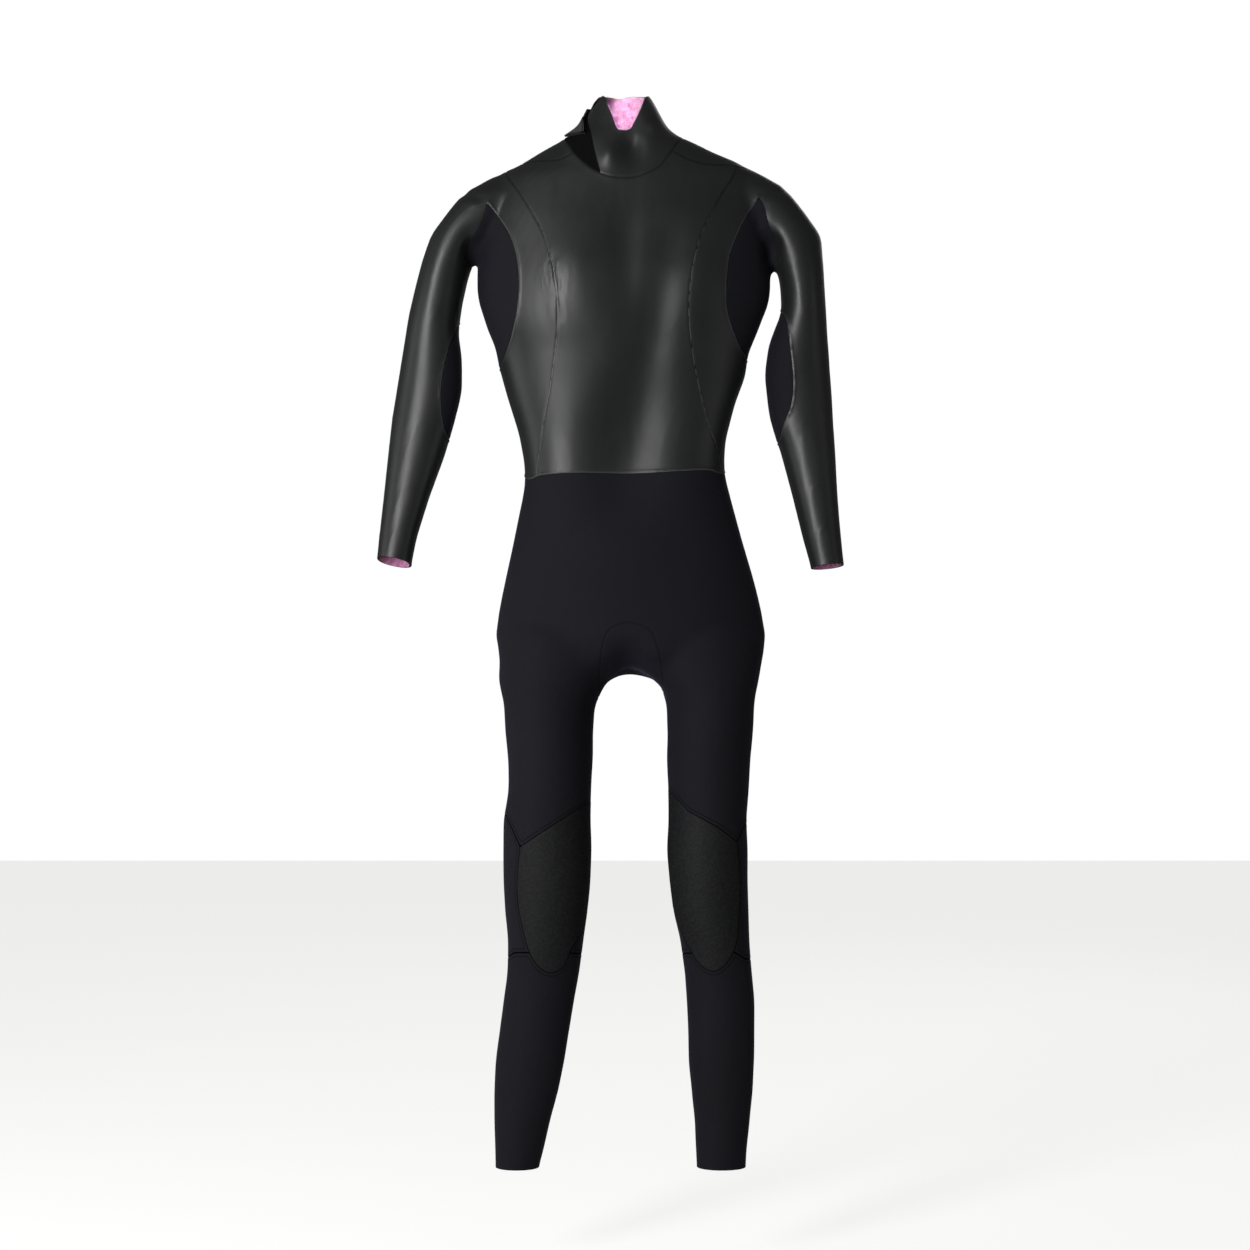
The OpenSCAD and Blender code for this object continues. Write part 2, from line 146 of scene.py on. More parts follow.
# ---------------------------------------------------------------- the body surface
# Torso stations, top to bottom: z, lowest x, highest x, depth in front, depth behind, roundness.
TORSO = [
    (96, -22, 20, 24, 38, 2.0), (RIM_Z, -32, 30, 31, 41, 2.0), (54, -40, 37, 35, 43, 2.05),
    (39, -47, 45, 39, 45, 2.1), (24, -56, 54, 44, 48, 2.15), (13, -71, 67, 48, 51, 2.2),
    (5, -82, 82, 50.5, 53, 2.25), (-9, -107, 110, 53, back_y(-9), 2.3),
    (-24, -133, 144, 56, back_y(-24), 2.35), (-40, -158, 166, 60, back_y(-40), 2.35),
    (-72, -172, 174, 67, back_y(-72), 2.4), (-105, -178, 177, 74, back_y(-105), 2.4),
    (-150, -182, 180, 81, back_y(-150), 2.35), (-190, -183, 180, 84, back_y(-190), 2.3),
    (-225, -174, 170, 84, back_y(-225), 2.3), (-262, -160, 155, 79, back_y(-262), 2.3),
    (-312, -147, 141, 72, back_y(-312), 2.3), (-360, -133, 127, 68, back_y(-360), 2.3),
    (WAIST_Z, -126, 124, 67, WAIST_BACK_Y, 2.3), (-437, -127, 130, 70, 73, 2.3),
    (-485, -137, 143, 76, 82, 2.3), (-540, -149, 159, 81, 94, 2.3), (-590, -158, 171, 83, 102, 2.25),
    (-618, -160, 174, 82, 102, 2.2), (-642, -140, 154, 74, 92, 2.1), (-664, -60, 70, 44, 56, 2.0),
]
RIGHT_LEG = [
    (-570, -142, -24, 54, 72, 2.1), (-610, -159, -6, 76, 97, 2.1), (-650, -158, -14, 79, 100, 2.1),
    (-690, -154, -35, 77, 94, 2.1), (-728, -149, -41, 74, 86, 2.1), (-765, -147, -41, 71, 78, 2.1),
    (-803, -146, -42.5, 68, 70, 2.1), (-840, -151, -44, 66, 64, 2.1), (-878, -151.5, -43, 65, 58, 2.1),
    (-915, -151, -44, 63, 53, 2.1), (-953, -149, -47.5, 59, 52, 2.1), (-990, -146, -52.5, 53, 54, 2.1),
    (-1028, -147, -57.5, 47, 58, 2.1), (-1065, -151, -64, 44, 61, 2.1), (-1103, -156, -70, 42, 62, 2.1),
    (-1140, -161, -76, 41, 59, 2.1), (-1178, -163, -84, 39, 53, 2.1), (-1215, -163, -94, 37, 46, 2.1),
    (-1253, -162, -102.5, 35, 41, 2.1), (ANKLE_Z, -162, -108, 34, 38, 2.1),
    (ANKLE_Z - 34, -162, -112, 33, 36, 2.1),
]
LEFT_LEG = [
    (-570, 30, 154, 54, 72, 2.1), (-610, 8, 173, 76, 97, 2.1), (-650, 18, 170, 79, 100, 2.1),
    (-690, 49, 161.5, 77, 94, 2.1), (-728, 54, 159, 74, 86, 2.1), (-765, 53, 156, 71, 78, 2.1),
    (-803, 54.5, 154.5, 68, 70, 2.1), (-840, 55, 152, 66, 64, 2.1), (-878, 53, 152.5, 65, 58, 2.1),
    (-915, 55.5, 153, 63, 53, 2.1), (-953, 61, 154, 59, 52, 2.1), (-990, 70, 155.5, 53, 54, 2.1),
    (-1028, 75, 158, 47, 58, 2.1), (-1065, 77.5, 161, 44, 61, 2.1), (-1103, 79, 161.5, 42, 62, 2.1),
    (-1140, 80, 161, 41, 59, 2.1), (-1178, 84, 159, 39, 53, 2.1), (-1215, 87.5, 155.5, 37, 46, 2.1),
    (-1253, 89, 151.5, 35, 41, 2.1), (ANKLE_Z, 90, 150, 34, 38, 2.1), (ANKLE_Z - 34, 91, 148, 33, 36, 2.1),
]
# Arm stations along the sleeve: x, z of the middle, half width, half depth, y of the middle.
RIGHT_ARM = [
    (-112, -57, 28, 30, 0), (-150, -70, 34, 38, 0), (-186, -91, 38, 42, 0), (-210, -117, 34, 43, 0),
    (-224, -146, 29, 43, 0), (-232, -180, 30, 42, 0), (-239, -220, 32, 40, 0), (-241.5, -262, 37, 39, 0),
    (-244, -302, 40.2, 38, -1), (-250, -340, 38.5, 36, -4), (-260, -389, 34, 33, -9),
    (-272, -450, 28.5, 29, -17), (-286, -519, 21.8, 25, -27), (-292, -552, 20, 24, -32),
]
LEFT_ARM = [
    (108, -48, 27, 30, 0), (146, -60, 34, 38, 0), (182, -84, 38, 42, 0), (205, -112, 34, 43, 0),
    (216, -145, 31, 43, 0), (221.5, -178, 27, 42, 0), (222, -212, 28.5, 40, 0), (217, -252, 37.5, 39, 0),
    (215.7, -290, 41, 38, -1), (220.5, -340, 40, 36, -4), (228, -376, 34.5, 34, -7),
    (240, -450, 27, 29, -17), (252, -521, 21, 25, -27), (257, -552, 19.5, 24, -32),
]
# The suit's outline in the front view, round from the right of the neck.
RIGHT_OUTER = [(-80, 6), (-107.5, -9), (-131, -24), (-165, -39), (-189, -53), (-203, -62), (-211, -71.5),
               (-226, -90), (-241, -109), (-251, -137), (-260, -172), (-269.4, -211), (-278.6, -266),
               (-284.5, -303), (-290, -337), (-295, -387), (-300, -437), (-305, -487), (-308, -524),
               (-312, -570)]
RIGHT_INNER = [(-258, -570), (-266, -524), (-259, -487), (-244, -437), (-226, -387), (-212, -337),
               (-204, -303), (-204, -266), (-208.6, -230), (-202.5, -188), (-196, -163), (-191, -152),
               (-187, -152), (-184, -165), (-183, -190), (-172, -225), (-161, -251), (-157, -273),
               (-146.5, -312), (-132.5, -358), (-125.6, -394), (-124.4, -418), (-127, -437), (-137, -485),
               (-149, -540), (-154, -565), (-158.5, -592), (-160, -615), (-155.5, -634), (-157, -655),
               (-156.5, -671), (-151, -690), (-149, -728), (-145, -765), (-145, -803), (-151, -840),
               (-151.5, -878), (-151, -915), (-149, -953), (-145.5, -990), (-146, -1028), (-151, -1065),
               (-156, -1103), (-161, -1140), (-162.5, -1178), (-162.5, -1215), (-161.5, -1253),
               (-161, -1272), (-161, -1330)]
INSEAM = [(-112, -1330), (-107.5, -1272), (-102.5, -1253), (-94, -1215), (-84, -1178), (-76, -1140),
          (-70, -1103), (-64, -1065), (-57.5, -1028), (-52.5, -990), (-47.5, -953), (-44, -915),
          (-42.5, -878), (-43.5, -840), (-42.5, -803), (-40.5, -765), (-40.5, -728), (-38.5, -700),
          (-34, -686), (-24, -672), (-10, -662.5), (4, -659), (20, -661), (36, -667), (48, -677),
          (52, -694), (53.5, -728), (53, -765), (55, -803), (55, -840), (53, -878), (56, -915), (61, -953),
          (70, -990), (75, -1028), (77.5, -1065), (79, -1103), (80, -1140), (84, -1178), (87.5, -1215),
          (89, -1253), (90, -1272), (91, -1330)]
LEFT_OUTER = [(149, -1330), (150, -1272), (151, -1253), (155, -1215), (159, -1178), (161, -1140),
              (161, -1103), (161, -1065), (157.5, -1028), (155, -990), (154, -953), (152.5, -915),
              (152.5, -878), (151, -840), (154, -803), (156, -765), (159, -728), (161, -690), (165, -671),
              (172, -634), (175, -615), (172, -590), (165, -559), (158, -533), (144, -485), (131, -437),
              (125, -413), (123.75, -394), (125, -368), (137, -320), (150, -285), (152.5, -261),
              (167, -225), (179, -193), (180.5, -175), (182, -158), (184, -148), (188, -147), (192, -158),
              (195, -174), (196, -206), (191, -218), (180, -248), (175, -285), (181, -337), (196, -387),
              (209, -437), (221, -487), (231, -524), (238, -570), (276, -570), (271.5, -524), (268, -487),
              (264, -437), (261.5, -387), (259, -337), (258, -312), (253.5, -250), (251.6, -220),
              (248, -160), (246.5, -140), (245, -112), (238, -103), (229, -90), (215, -71.5), (201, -54),
              (177.5, -39), (147.5, -24), (111, -9), (81, 6)]


def ring(half_x, front, behind, roundness, count=72):
    """A superellipse with its own depth in front and behind, as x and y offsets."""
    a = np.linspace(0, 2 * math.pi, count, endpoint=False)
    c, s = np.cos(a), np.sin(a)
    depth = np.where(s < 0, front, behind)
    return (half_x * np.sign(c) * np.abs(c) ** (2 / roundness),
            depth * np.sign(s) * np.abs(s) ** (2 / roundness))


def tube_mesh(rings):
    """Vertices and faces of a closed tube through equal rings of points."""
    count = len(rings[0])
    v = np.vstack(rings + [rings[0].mean(axis=0)[None], rings[-1].mean(axis=0)[None]])
    faces = []
    for r in range(len(rings) - 1):
        for i in range(count):
            j = (i + 1) % count
            faces.append((r * count + i, r * count + j, (r + 1) * count + j, (r + 1) * count + i))
    first, last = len(v) - 2, len(v) - 1
    end = (len(rings) - 1) * count
    for i in range(count):
        j = (i + 1) % count
        faces.append((first, j, i))
        faces.append((last, end + i, end + j))
    return v, faces


def upright_tube(stations):
    """A tube of horizontal slices, smooth from station to station."""
    rings = []
    for z, low, high, front, behind, roundness in spline(stations, 5):
        x, y = ring((high - low) / 2, front, behind, roundness)
        rings.append(np.column_stack([x + (high + low) / 2, y, np.full(len(x), z)]))
    return tube_mesh(rings)


def arm_tube(stations):
    """A tube whose slices stand square to the sleeve's own line."""
    rows = spline(stations, 6)
    along = np.gradient(rows[:, [0, 4, 1]], axis=0)
    along /= np.linalg.norm(along, axis=1)[:, None]
    rings = []
    for (x0, z0, half_w, half_d, y0), t in zip(rows, along):
        across = np.array([-t[2], 0, t[0]])
        across /= np.linalg.norm(across)
        out = np.cross(t, across)
        a, b = ring(half_w, half_d, half_d, 2.1)
        rings.append(np.array([x0, y0, z0]) + a[:, None] * across + b[:, None] * out)
    return tube_mesh(rings)


def skin_body():
    """Torso, arms and legs skinned as one closed surface: vertices and triangles."""
    verts, faces = [], []
    for v, f in (upright_tube(TORSO), upright_tube(RIGHT_LEG), upright_tube(LEFT_LEG),
                 arm_tube(RIGHT_ARM), arm_tube(LEFT_ARM)):
        base = sum(len(part) for part in verts)
        verts.append(v)
        faces += [tuple(i + base for i in face) for face in f]
    mesh = bpy.data.meshes.new("body_form")
    mesh.from_pydata(np.vstack(verts).tolist(), [], faces)
    form = bpy.data.objects.new("body_form", mesh)
    bpy.context.scene.collection.objects.link(form)
    turn_outwards(mesh)
    remesh = form.modifiers.new("skin", "REMESH")
    remesh.mode = "VOXEL"
    remesh.voxel_size = SKIN_CELL
    skinned = form.evaluated_get(bpy.context.evaluated_depsgraph_get()).to_mesh()
    skinned.calc_loop_triangles()
    v = np.empty(len(skinned.vertices) * 3)
    skinned.vertices.foreach_get("co", v)
    f = np.empty(len(skinned.loop_triangles) * 3, np.int32)
    skinned.loop_triangles.foreach_get("vertices", f)
    bpy.data.objects.remove(form)
    return v.reshape(-1, 3), f.reshape(-1, 3).astype(np.int64)


def turn_outwards(mesh):
    import bmesh
    b = bmesh.new()
    b.from_mesh(mesh)
    bmesh.ops.recalc_face_normals(b, faces=b.faces)
    b.to_mesh(mesh)
    b.free()


def neighbours_mean(v, f):
    """A function that averages any per-vertex array over each vertex's neighbours."""
    edges = np.vstack([f[:, [0, 1]], f[:, [1, 2]], f[:, [2, 0]]])
    edges = np.unique(np.sort(edges, axis=1), axis=0)
    ends = np.concatenate([edges[:, 0], edges[:, 1]])
    others = np.concatenate([edges[:, 1], edges[:, 0]])
    degree = np.bincount(ends, minlength=len(v)).astype(float)

    def mean(values):
        columns = [np.bincount(ends, values[others, k], len(v)) for k in range(values.shape[1])]
        return np.column_stack(columns) / degree[:, None]
    return mean


# Where the surface is rounded off: centre and reach.
CREASES = [((-189, 0, -146), 34), ((186, 0, -142), 34), ((5, 0, -664), 52), ((-60, 0, -640), 60),
           ((70, 0, -640), 60)]


def relax(v, f):
    """Takes the voxel steps out, and rounds the armpits and the crotch."""
    mean = neighbours_mean(v, f)
    for step in range(24):
        factor = 0.6 if step % 2 == 0 else -0.62
        v = v + factor * (mean(v) - v)
    weight = np.zeros(len(v))
    for centre, reach in CREASES:
        distance = np.linalg.norm((v - centre) * (1, 0.45, 1), axis=1)
        weight = np.maximum(weight, 1 - between(distance, reach * 0.35, reach))
    for _ in range(20):
        v = v + 0.6 * weight[:, None] * (mean(v) - v)
    outline = np.array(RIGHT_OUTER + RIGHT_INNER + INSEAM + LEFT_OUTER, float)
    for _ in range(2):
        v = fit_outline(v, f, mean, outline)
    for step in range(6):
        v = v + (0.5 if step % 2 == 0 else -0.52) * (mean(v) - v)
    return v


def fit_outline(v, f, mean, outline):
    """Draws the edge of the front view onto its outline and lets the rest follow softly."""
    n = vertex_normals(v, f)
    edge = np.flatnonzero((np.abs(n[:, 1]) < 0.22) & (v[:, 2] < 4))
    away = outline_distance(v[edge, 0], v[edge, 2], outline)
    flat = n[edge] * (1, 0, 1)
    flat /= np.linalg.norm(flat, axis=1)[:, None]
    pull = flat * np.clip(away, -14, 14)[:, None]
    move = np.zeros_like(v)
    move[edge] = pull
    for step in range(46):
        move = mean(move)
        if step < 34:
            move[edge] = 0.75 * pull + 0.25 * move[edge]
    return v + move


def vertex_normals(v, f):
    n = np.cross(v[f[:, 1]] - v[f[:, 0]], v[f[:, 2]] - v[f[:, 0]])
    total = np.zeros_like(v)
    for k in range(3):
        for axis in range(3):
            total[:, axis] += np.bincount(f[:, k], n[:, axis], len(v))
    return total / np.maximum(np.linalg.norm(total, axis=1), 1e-12)[:, None]


def bump(v, centre, reach, height):
    """A soft swelling round a centre; reach is its spread along x, y and z."""
    d = (v - np.array(centre)) / np.array(reach)
    return height * np.exp(-(d ** 2).sum(axis=1))


def shape_body(v, n):
    """The wearer's shape that the cut of the panels holds: bust, blades, seat, knees and calves."""
    out = np.zeros(len(v))
    out += bump(v, (-62, -80, -168), (50, 60, 56), 9) + bump(v, (66, -80, -168), (50, 60, 56), 9)
    out -= bump(v, (2, -80, -150), (20, 60, 70), 3.5)
    out += bump(v, (-70, 60, -90), (48, 50, 70), 4) + bump(v, (70, 60, -90), (48, 50, 70), 4)
    out -= bump(v, (0, -70, -330), (70, 50, 60), 3)
    out += bump(v, (-72, 95, -560), (52, 60, 62), 8) + bump(v, (80, 95, -560), (52, 60, 62), 8)
    # the collar is pinched below its dip, and the armpits and the crotch draw in
    out -= bump(v, (9, -52, -2), (12, 40, 24), 8)
    out += bump(v, (-18, -52, -18), (12, 40, 17), 6) + bump(v, (32, -46, 0), (11, 40, 24), 0.5)
    out -= bump(v, (-190, -30, -133), (11, 44, 20), 8) + bump(v, (182, -30, -130), (9, 44, 18), 7)
    out -= bump(v, (5, -62, -654), (26, 70, 26), 13) + bump(v, (3, -75, -632), (20, 60, 18), 5)
    # a shallow valley wanders down the chest and belly
    middle = 52 + (v[:, 2] + 150) * 0.2
    low = 1 - between(v[:, 2], -380, -260)
    valley = np.exp(-((v[:, 0] - middle) / (30 + 22 * low)) ** 2)
    valley *= (1 - between(v[:, 2], -150, -80)) * (v[:, 1] < 0)
    out -= (9 + 8 * low) * valley * between(v[:, 2], -500, -400)
    # the zip lies in a flat strip, so nothing swells there
    flat = between(np.abs(v[:, 0]), 14, 40)
    behind = (v[:, 1] > 0) & (v[:, 2] > SLOT_END - 20)
    out = np.where(behind, out * flat, out)
    return v + n * out[:, None]


def fold(v, start, end, width, depth, side=0):
    """A crease between two points of the front view; side picks the front (-1) or back (1)."""
    a, b = np.array(start, float), np.array(end, float)
    d = b - a
    rel = v[:, [0, 2]] - a
    t = (rel @ d) / (d @ d)
    across = (rel @ np.array([-d[1], d[0]])) / math.sqrt(d @ d)
    ends = between(t, -0.12, 0.25) * (1 - between(t, 0.75, 1.12))
    shape = -np.exp(-(across / width) ** 2) + 0.55 * np.exp(-((np.abs(across) - 1.9 * width) / width) ** 2)
    facing = 1 if side == 0 else between(v[:, 1] * side, -6, 10)
    return depth * ends * shape * facing


# Soft creases of the hanging suit: start, end, half width, depth, front or back.
FOLDS = [
    ((-88, -142), (-84, -188), 3.2, 0.8, -1), ((-96, -150), (-92, -182), 2.6, 0.5, -1),
    ((-78, -150), (-76, -192), 2.6, 0.5, -1), ((-84, -196), (-78, -228), 4, 0.5, -1),
    ((-206, -60), (-176, -70), 5, 1.0, -1), ((204, -56), (172, -66), 5, 0.8, -1),
    ((-128, -400), (-60, -396), 8, 0.9, 1), ((128, -396), (60, -392), 8, 0.9, 1),
    ((-24, -664), (-126, -652), 12, 2.6, 1), ((36, -664), (140, -652), 12, 2.6, 1),
    ((-150, -938), (-66, -944), 10, 1.6, 1), ((154, -938), (72, -944), 10, 1.6, 1),
    ((-148, -918), (-80, -914), 9, 1.0, 1), ((150, -918), (84, -914), 9, 1.0, 1),
]


def add_folds(v, n):
    depth = sum(fold(v, *each) for each in FOLDS)
    far_from_zip = np.where((v[:, 1] > 0) & (v[:, 2] > SLOT_END - 20), between(np.abs(v[:, 0]), 14, 36), 1)
    # slow, shallow unevenness of a sheet that nothing fills
    x, y, z = v.T
    ripple = (np.sin(x / 23 + 1.3 * np.sin(z / 61)) * np.sin(z / 47 + y / 30)
              + 0.6 * np.sin(z / 29 + x / 37 + 2)) * 0.28
    return v + n * ((depth + ripple) * far_from_zip)[:, None]


# ---------------------------------------------------------------- cutting along seams
SEAM, CUT, HEM, STITCH = 6, 7, 8, 9
RELIEF_BANDS = (-3.4, -1.3, 1.3, 3.4)             # extra rows of vertices beside a seam, for its relief


class Surface:
    """Triangles with a label each, and per vertex in data: place, normal and four distances, which are to
    the nearest seam (SEAM), to the seam that is being cut (CUT), to the nearest seam between smooth skin and
    jersey (HEM), and to the nearest flat-stitched seam (STITCH)."""

    def __init__(self, v, n, f):
        self.data = np.column_stack([v, n, np.full((len(v), 4), FAR)])
        self.f = f
        self.label = np.full(len(f), "body", dtype=object)
        self.locked = np.zeros(len(v), bool)

    def cut(self, level, labels, lock):
        """Splits the labelled triangles where CUT crosses a level, moving near vertices onto it."""
        chosen = np.isin(self.label, labels)
        value = self.data[:, CUT] - level
        faces = self.f[chosen]
        edges = np.vstack([faces[:, [0, 1]], faces[:, [1, 2]], faces[:, [2, 0]]])
        for a, b in ((edges[:, 0], edges[:, 1]), (edges[:, 1], edges[:, 0])):
            crossing = value[a] * value[b] < 0
            a, b = a[crossing], b[crossing]
            t = value[a] / (value[a] - value[b])
            near = (t < 0.22) & ~self.locked[a]
            a, b, t = a[near], b[near], t[near]
            first = np.unique(a, return_index=True)[1]
            a, b, t = a[first], b[first], t[first]
            self.data[a] += (self.data[b] - self.data[a]) * t[:, None]
            value[a] = 0
        value[np.abs(value) < 1e-7] = 0
        sign = np.sign(value)
        index = np.flatnonzero(chosen)
        faces = self.f[index]
        following = np.roll(faces, -1, axis=1)
        crosses = sign[faces] * sign[following] < 0
        hit = crosses.any(axis=1)
        index, faces, following, crosses = index[hit], faces[hit], following[hit], crosses[hit]
        if len(index) == 0:
            return
        pairs = np.column_stack([faces[crosses], following[crosses]])
        pairs = np.unique(np.sort(pairs, axis=1), axis=0)
        t = value[pairs[:, 0]] / (value[pairs[:, 0]] - value[pairs[:, 1]])
        new = self.data[pairs[:, 0]] + (self.data[pairs[:, 1]] - self.data[pairs[:, 0]]) * t[:, None]
        size = len(self.data)
        keys = pairs[:, 0] * size + pairs[:, 1]
        self.data = np.vstack([self.data, new])
        self.locked = np.concatenate([self.locked, np.full(len(new), lock)])

        def middle(a, b):
            low, high = np.minimum(a, b), np.maximum(a, b)
            return size + np.searchsorted(keys, low * size + high)
        added, labels = [], []
        double = crosses.sum(axis=1) == 2
        for k in range(3):
            lone = double & crosses[:, k] & crosses[:, (k + 2) % 3]
            a, b, c = faces[lone, k], faces[lone, (k + 1) % 3], faces[lone, (k + 2) % 3]
            p, q = middle(a, b), middle(c, a)
            added += [np.column_stack([a, p, q]), np.column_stack([p, b, c]), np.column_stack([p, c, q])]
            labels += [self.label[index[lone]]] * 3
            single = ~double & crosses[:, k]
            a, b, c = faces[single, k], faces[single, (k + 1) % 3], faces[single, (k + 2) % 3]
            p = middle(a, b)
            added += [np.column_stack([a, p, c]), np.column_stack([p, b, c])]
            labels += [self.label[index[single]]] * 2
        keep = np.ones(len(self.f), bool)
        keep[index] = False
        self.f = np.vstack([self.f[keep]] + added)
        self.label = np.concatenate([self.label[keep]] + labels)
        if lock:
            value = np.concatenate([value, np.zeros(len(new))])
            self.locked |= value == 0

    def measure_seam(self, labels, measure):
        """Puts into CUT the distance to the seam, in millimetres along the surface."""
        self.data[:, CUT] = FAR
        used = np.unique(self.f[np.isin(self.label, labels)])
        p, n = self.data[used, :3], self.data[used, 3:6]
        value = measure(p)
        near = np.abs(value) < 14
        slope = np.column_stack([measure(p[near] + step) - value[near] for step in np.eye(3) * 0.5]) / 0.5
        slope -= (slope * n[near]).sum(axis=1)[:, None] * n[near]
        value[near] /= np.maximum(np.linalg.norm(slope, axis=1), 0.25)
        self.data[used, CUT] = value

    def seam(self, labels, measure, name, sewn=True, mixed=False, flat=False):
        """Cuts the labelled panels along measure = 0; what lies on its positive side is renamed.

        A mixed seam joins smooth skin to jersey, and a flat one is flat-stitched."""
        self.measure_seam(labels, measure)
        self.cut(0, labels, lock=True)
        chosen = np.flatnonzero(np.isin(self.label, labels))
        centres = self.data[self.f[chosen], :3].mean(axis=1)
        self.label[chosen[measure(centres) > 0]] = name
        if not sewn:
            return
        family = list(labels) + [name]
        for level in RELIEF_BANDS:
            self.cut(level, family, lock=False)
        touched = np.unique(self.f[np.isin(self.label, family)])
        distance = np.abs(self.data[touched, CUT])
        for column in [SEAM] + [HEM] * mixed + [STITCH] * flat:
            self.data[touched, column] = np.minimum(self.data[touched, column], distance)

    def bare(self):
        """Takes the last cut as the only seam, without relief, and gives back the vertex data."""
        self.data[:, SEAM] = self.data[:, CUT]
        self.shading, self.relief = self.data[:, 3:6], np.zeros(len(self.data))
        return self.data


def front_view(p):
    """x and z as they look from the front, where nearer parts look larger."""
    larger = EYE_DISTANCE / (EYE_DISTANCE + p[:, 1])
    return p[:, 0] * larger, EYE_Z + (p[:, 2] - EYE_Z) * larger


def zone(outline):
    """A measure that is positive where the front view falls inside the outline."""
    outline = np.array(outline, float)

    def measure(p):
        return outline_distance(*front_view(p), outline)
    return measure


# ---------------------------------------------------------------- seam lines, in the front view
COLLAR_BASE = spline([(-96, 22), (-76, 10), (-62, -8), (-45, -23), (-26, -33), (-4, -37), (16, -35),
                      (34, -28), (46, -20), (58, -4), (68, 8), (96, 24)])
RIM_FRONT = spline([(-60, 50), (-40, 57), (-31, 63.5), (-27.5, 65), (-24.5, 61), (-18, 44.5), (-10.5, 26),
                    (-7, 23.5), (1, 22.2), (6.5, 23.8), (11, 31.5), (18, 45), (24, 57.5), (26, 63),
                    (29, 64.5), (33, 61), (40, 55), (60, 48)], 6)
FREE_EDGE = spline([(-24, 80), (-34, 58), (-44.5, 45), (-46, 33), (-42.5, 20), (-38, -2), (-31, -29),
                    (-26, -50)])
PRINCESS = {
    -1: spline([(-150, -20), (-147.5, -35), (-132.5, -55), (-114, -84), (-101, -110), (-91, -146),
                (-85.5, -178), (-84, -215), (-87.5, -253), (-94, -301), (-101, -338), (-110, -399),
                (-113, -440)]),
    1: spline([(140, -20), (135, -36.5), (119, -61.5), (97.5, -103), (87, -138), (81.5, -172), (80, -208),
               (84.5, -255), (94, -305), (106, -350), (119, -391), (123, -440)]),
}
YOKE = {-1: spline([(-40, 18), (-76, -12), (-110, -17), (-144, -24), (-190, -40)]),
        1: spline([(40, 18), (59, -3), (94, -19), (141, -24), (190, -40)])}
WAIST = spline([(-200, -418), (-125, -415), (-104, -409), (-60, -406), (10, -407), (66, -404), (104, -403),
                (125, -408), (200, -412)])
APEX = {-1: (-172.5, -68), 1: (167.5, -62)}
GUSSET_BODY = {
    -1: spline([APEX[-1], (-160, -84), (-146, -105), (-138, -126), (-133.5, -152), (-133, -180),
                (-137.5, -215), (-146, -248), (-162, -290)]),
    1: spline([APEX[1], (150, -89), (139, -112), (131, -134), (127.5, -163), (127.5, -200), (137, -232),
               (152, -264), (164, -290)]),
}
GUSSET_ARM = {-1: spline([APEX[-1], (-179, -91), (-187, -107), (-196, -121), (-201, -140)]),
              1: spline([APEX[1], (174, -72), (180, -96), (188, -114), (192, -138)])}
GAP = {-1: [(-191, -146), (-192, -190), (-190, -250), (-178, -420), (-178, -600)],
       1: [(186.5, -146), (186.5, -190), (169, -250), (168, -290), (178, -420), (178, -600)]}
INNER_ARM = {
    -1: spline([(-188, -214), (-207, -222), (-214, -234), (-221, -253), (-229.5, -292), (-229.5, -330),
                (-219, -366), (-192, -396)]),
    1: spline([(178, -200), (194, -205), (201, -214), (206, -246), (210.5, -290), (208, -320), (199, -343),
               (190, -370), (166, -396)]),
}
CROTCH = spline([(-33, -700), (-32, -660), (-28, -622), (-19, -601.5), (4, -593.5), (29, -601), (40, -622),
                 (46, -652), (48, -700)])
KNEE_TOP = {-1: [(-149, -834), (-131, -874), (-47, -819), (-20, -801)],
            1: [(150, -845), (140, -868), (117, -850), (79, -830), (54, -801), (30, -780)]}
PAD = {
    -1: spline([(-131, -874), (-134, -905), (-134.5, -935), (-130, -965), (-120, -1004), (-106, -1025),
                (-92, -1031), (-77, -1024), (-69, -1006), (-63, -994), (-50, -970), (-42, -930),
                (-34, -880)]),
    1: spline([(140, -868), (143.5, -905), (143, -950), (139.5, -992), (130, -1015), (113, -1029),
               (95, -1022), (82, -1003), (70, -978), (57, -940), (46, -900), (42, -860)]),
}


def collar_measure(p):
    """Positive above the seam that joins the collar to the body."""
    x, z = front_view(p)
    front = np.interp(x, COLLAR_BASE[:, 0], COLLAR_BASE[:, 1])
    sides = np.interp(np.abs(x), [0, 60, 80], [12, 11, 12])
    return z - (front + (sides - front) * between(p[:, 1], -14, 14))


def rim_measure(p):
    """Positive above the rim, with its dip at the throat."""
    x, z = front_view(p)
    front = np.interp(x, RIM_FRONT[:, 0], RIM_FRONT[:, 1])
    behind = RIM_Z - 2.5 - 3 * np.exp(-((x + 8) / 9) ** 2)
    return z - (front + (behind - front) * between(p[:, 1], -6, 6))


def waist_measure(p):
    x, z = front_view(p)
    front = np.interp(x, WAIST[:, 0], WAIST[:, 1])
    return front + (WAIST_Z - front) * between(p[:, 1], -30, 30) - z


def line_measure(curve, side):
    """Signed distance to an open line of the front view, positive outwards from the middle."""
    closed = list(curve) + [(side * 500, curve[-1][1]), (side * 500, curve[0][1])]
    return zone(closed)


def closed_neck(line, side):
    return list(line) + [(side * 400, line[-1][1]), (side * 400, 400), (line[0][0], 400)]


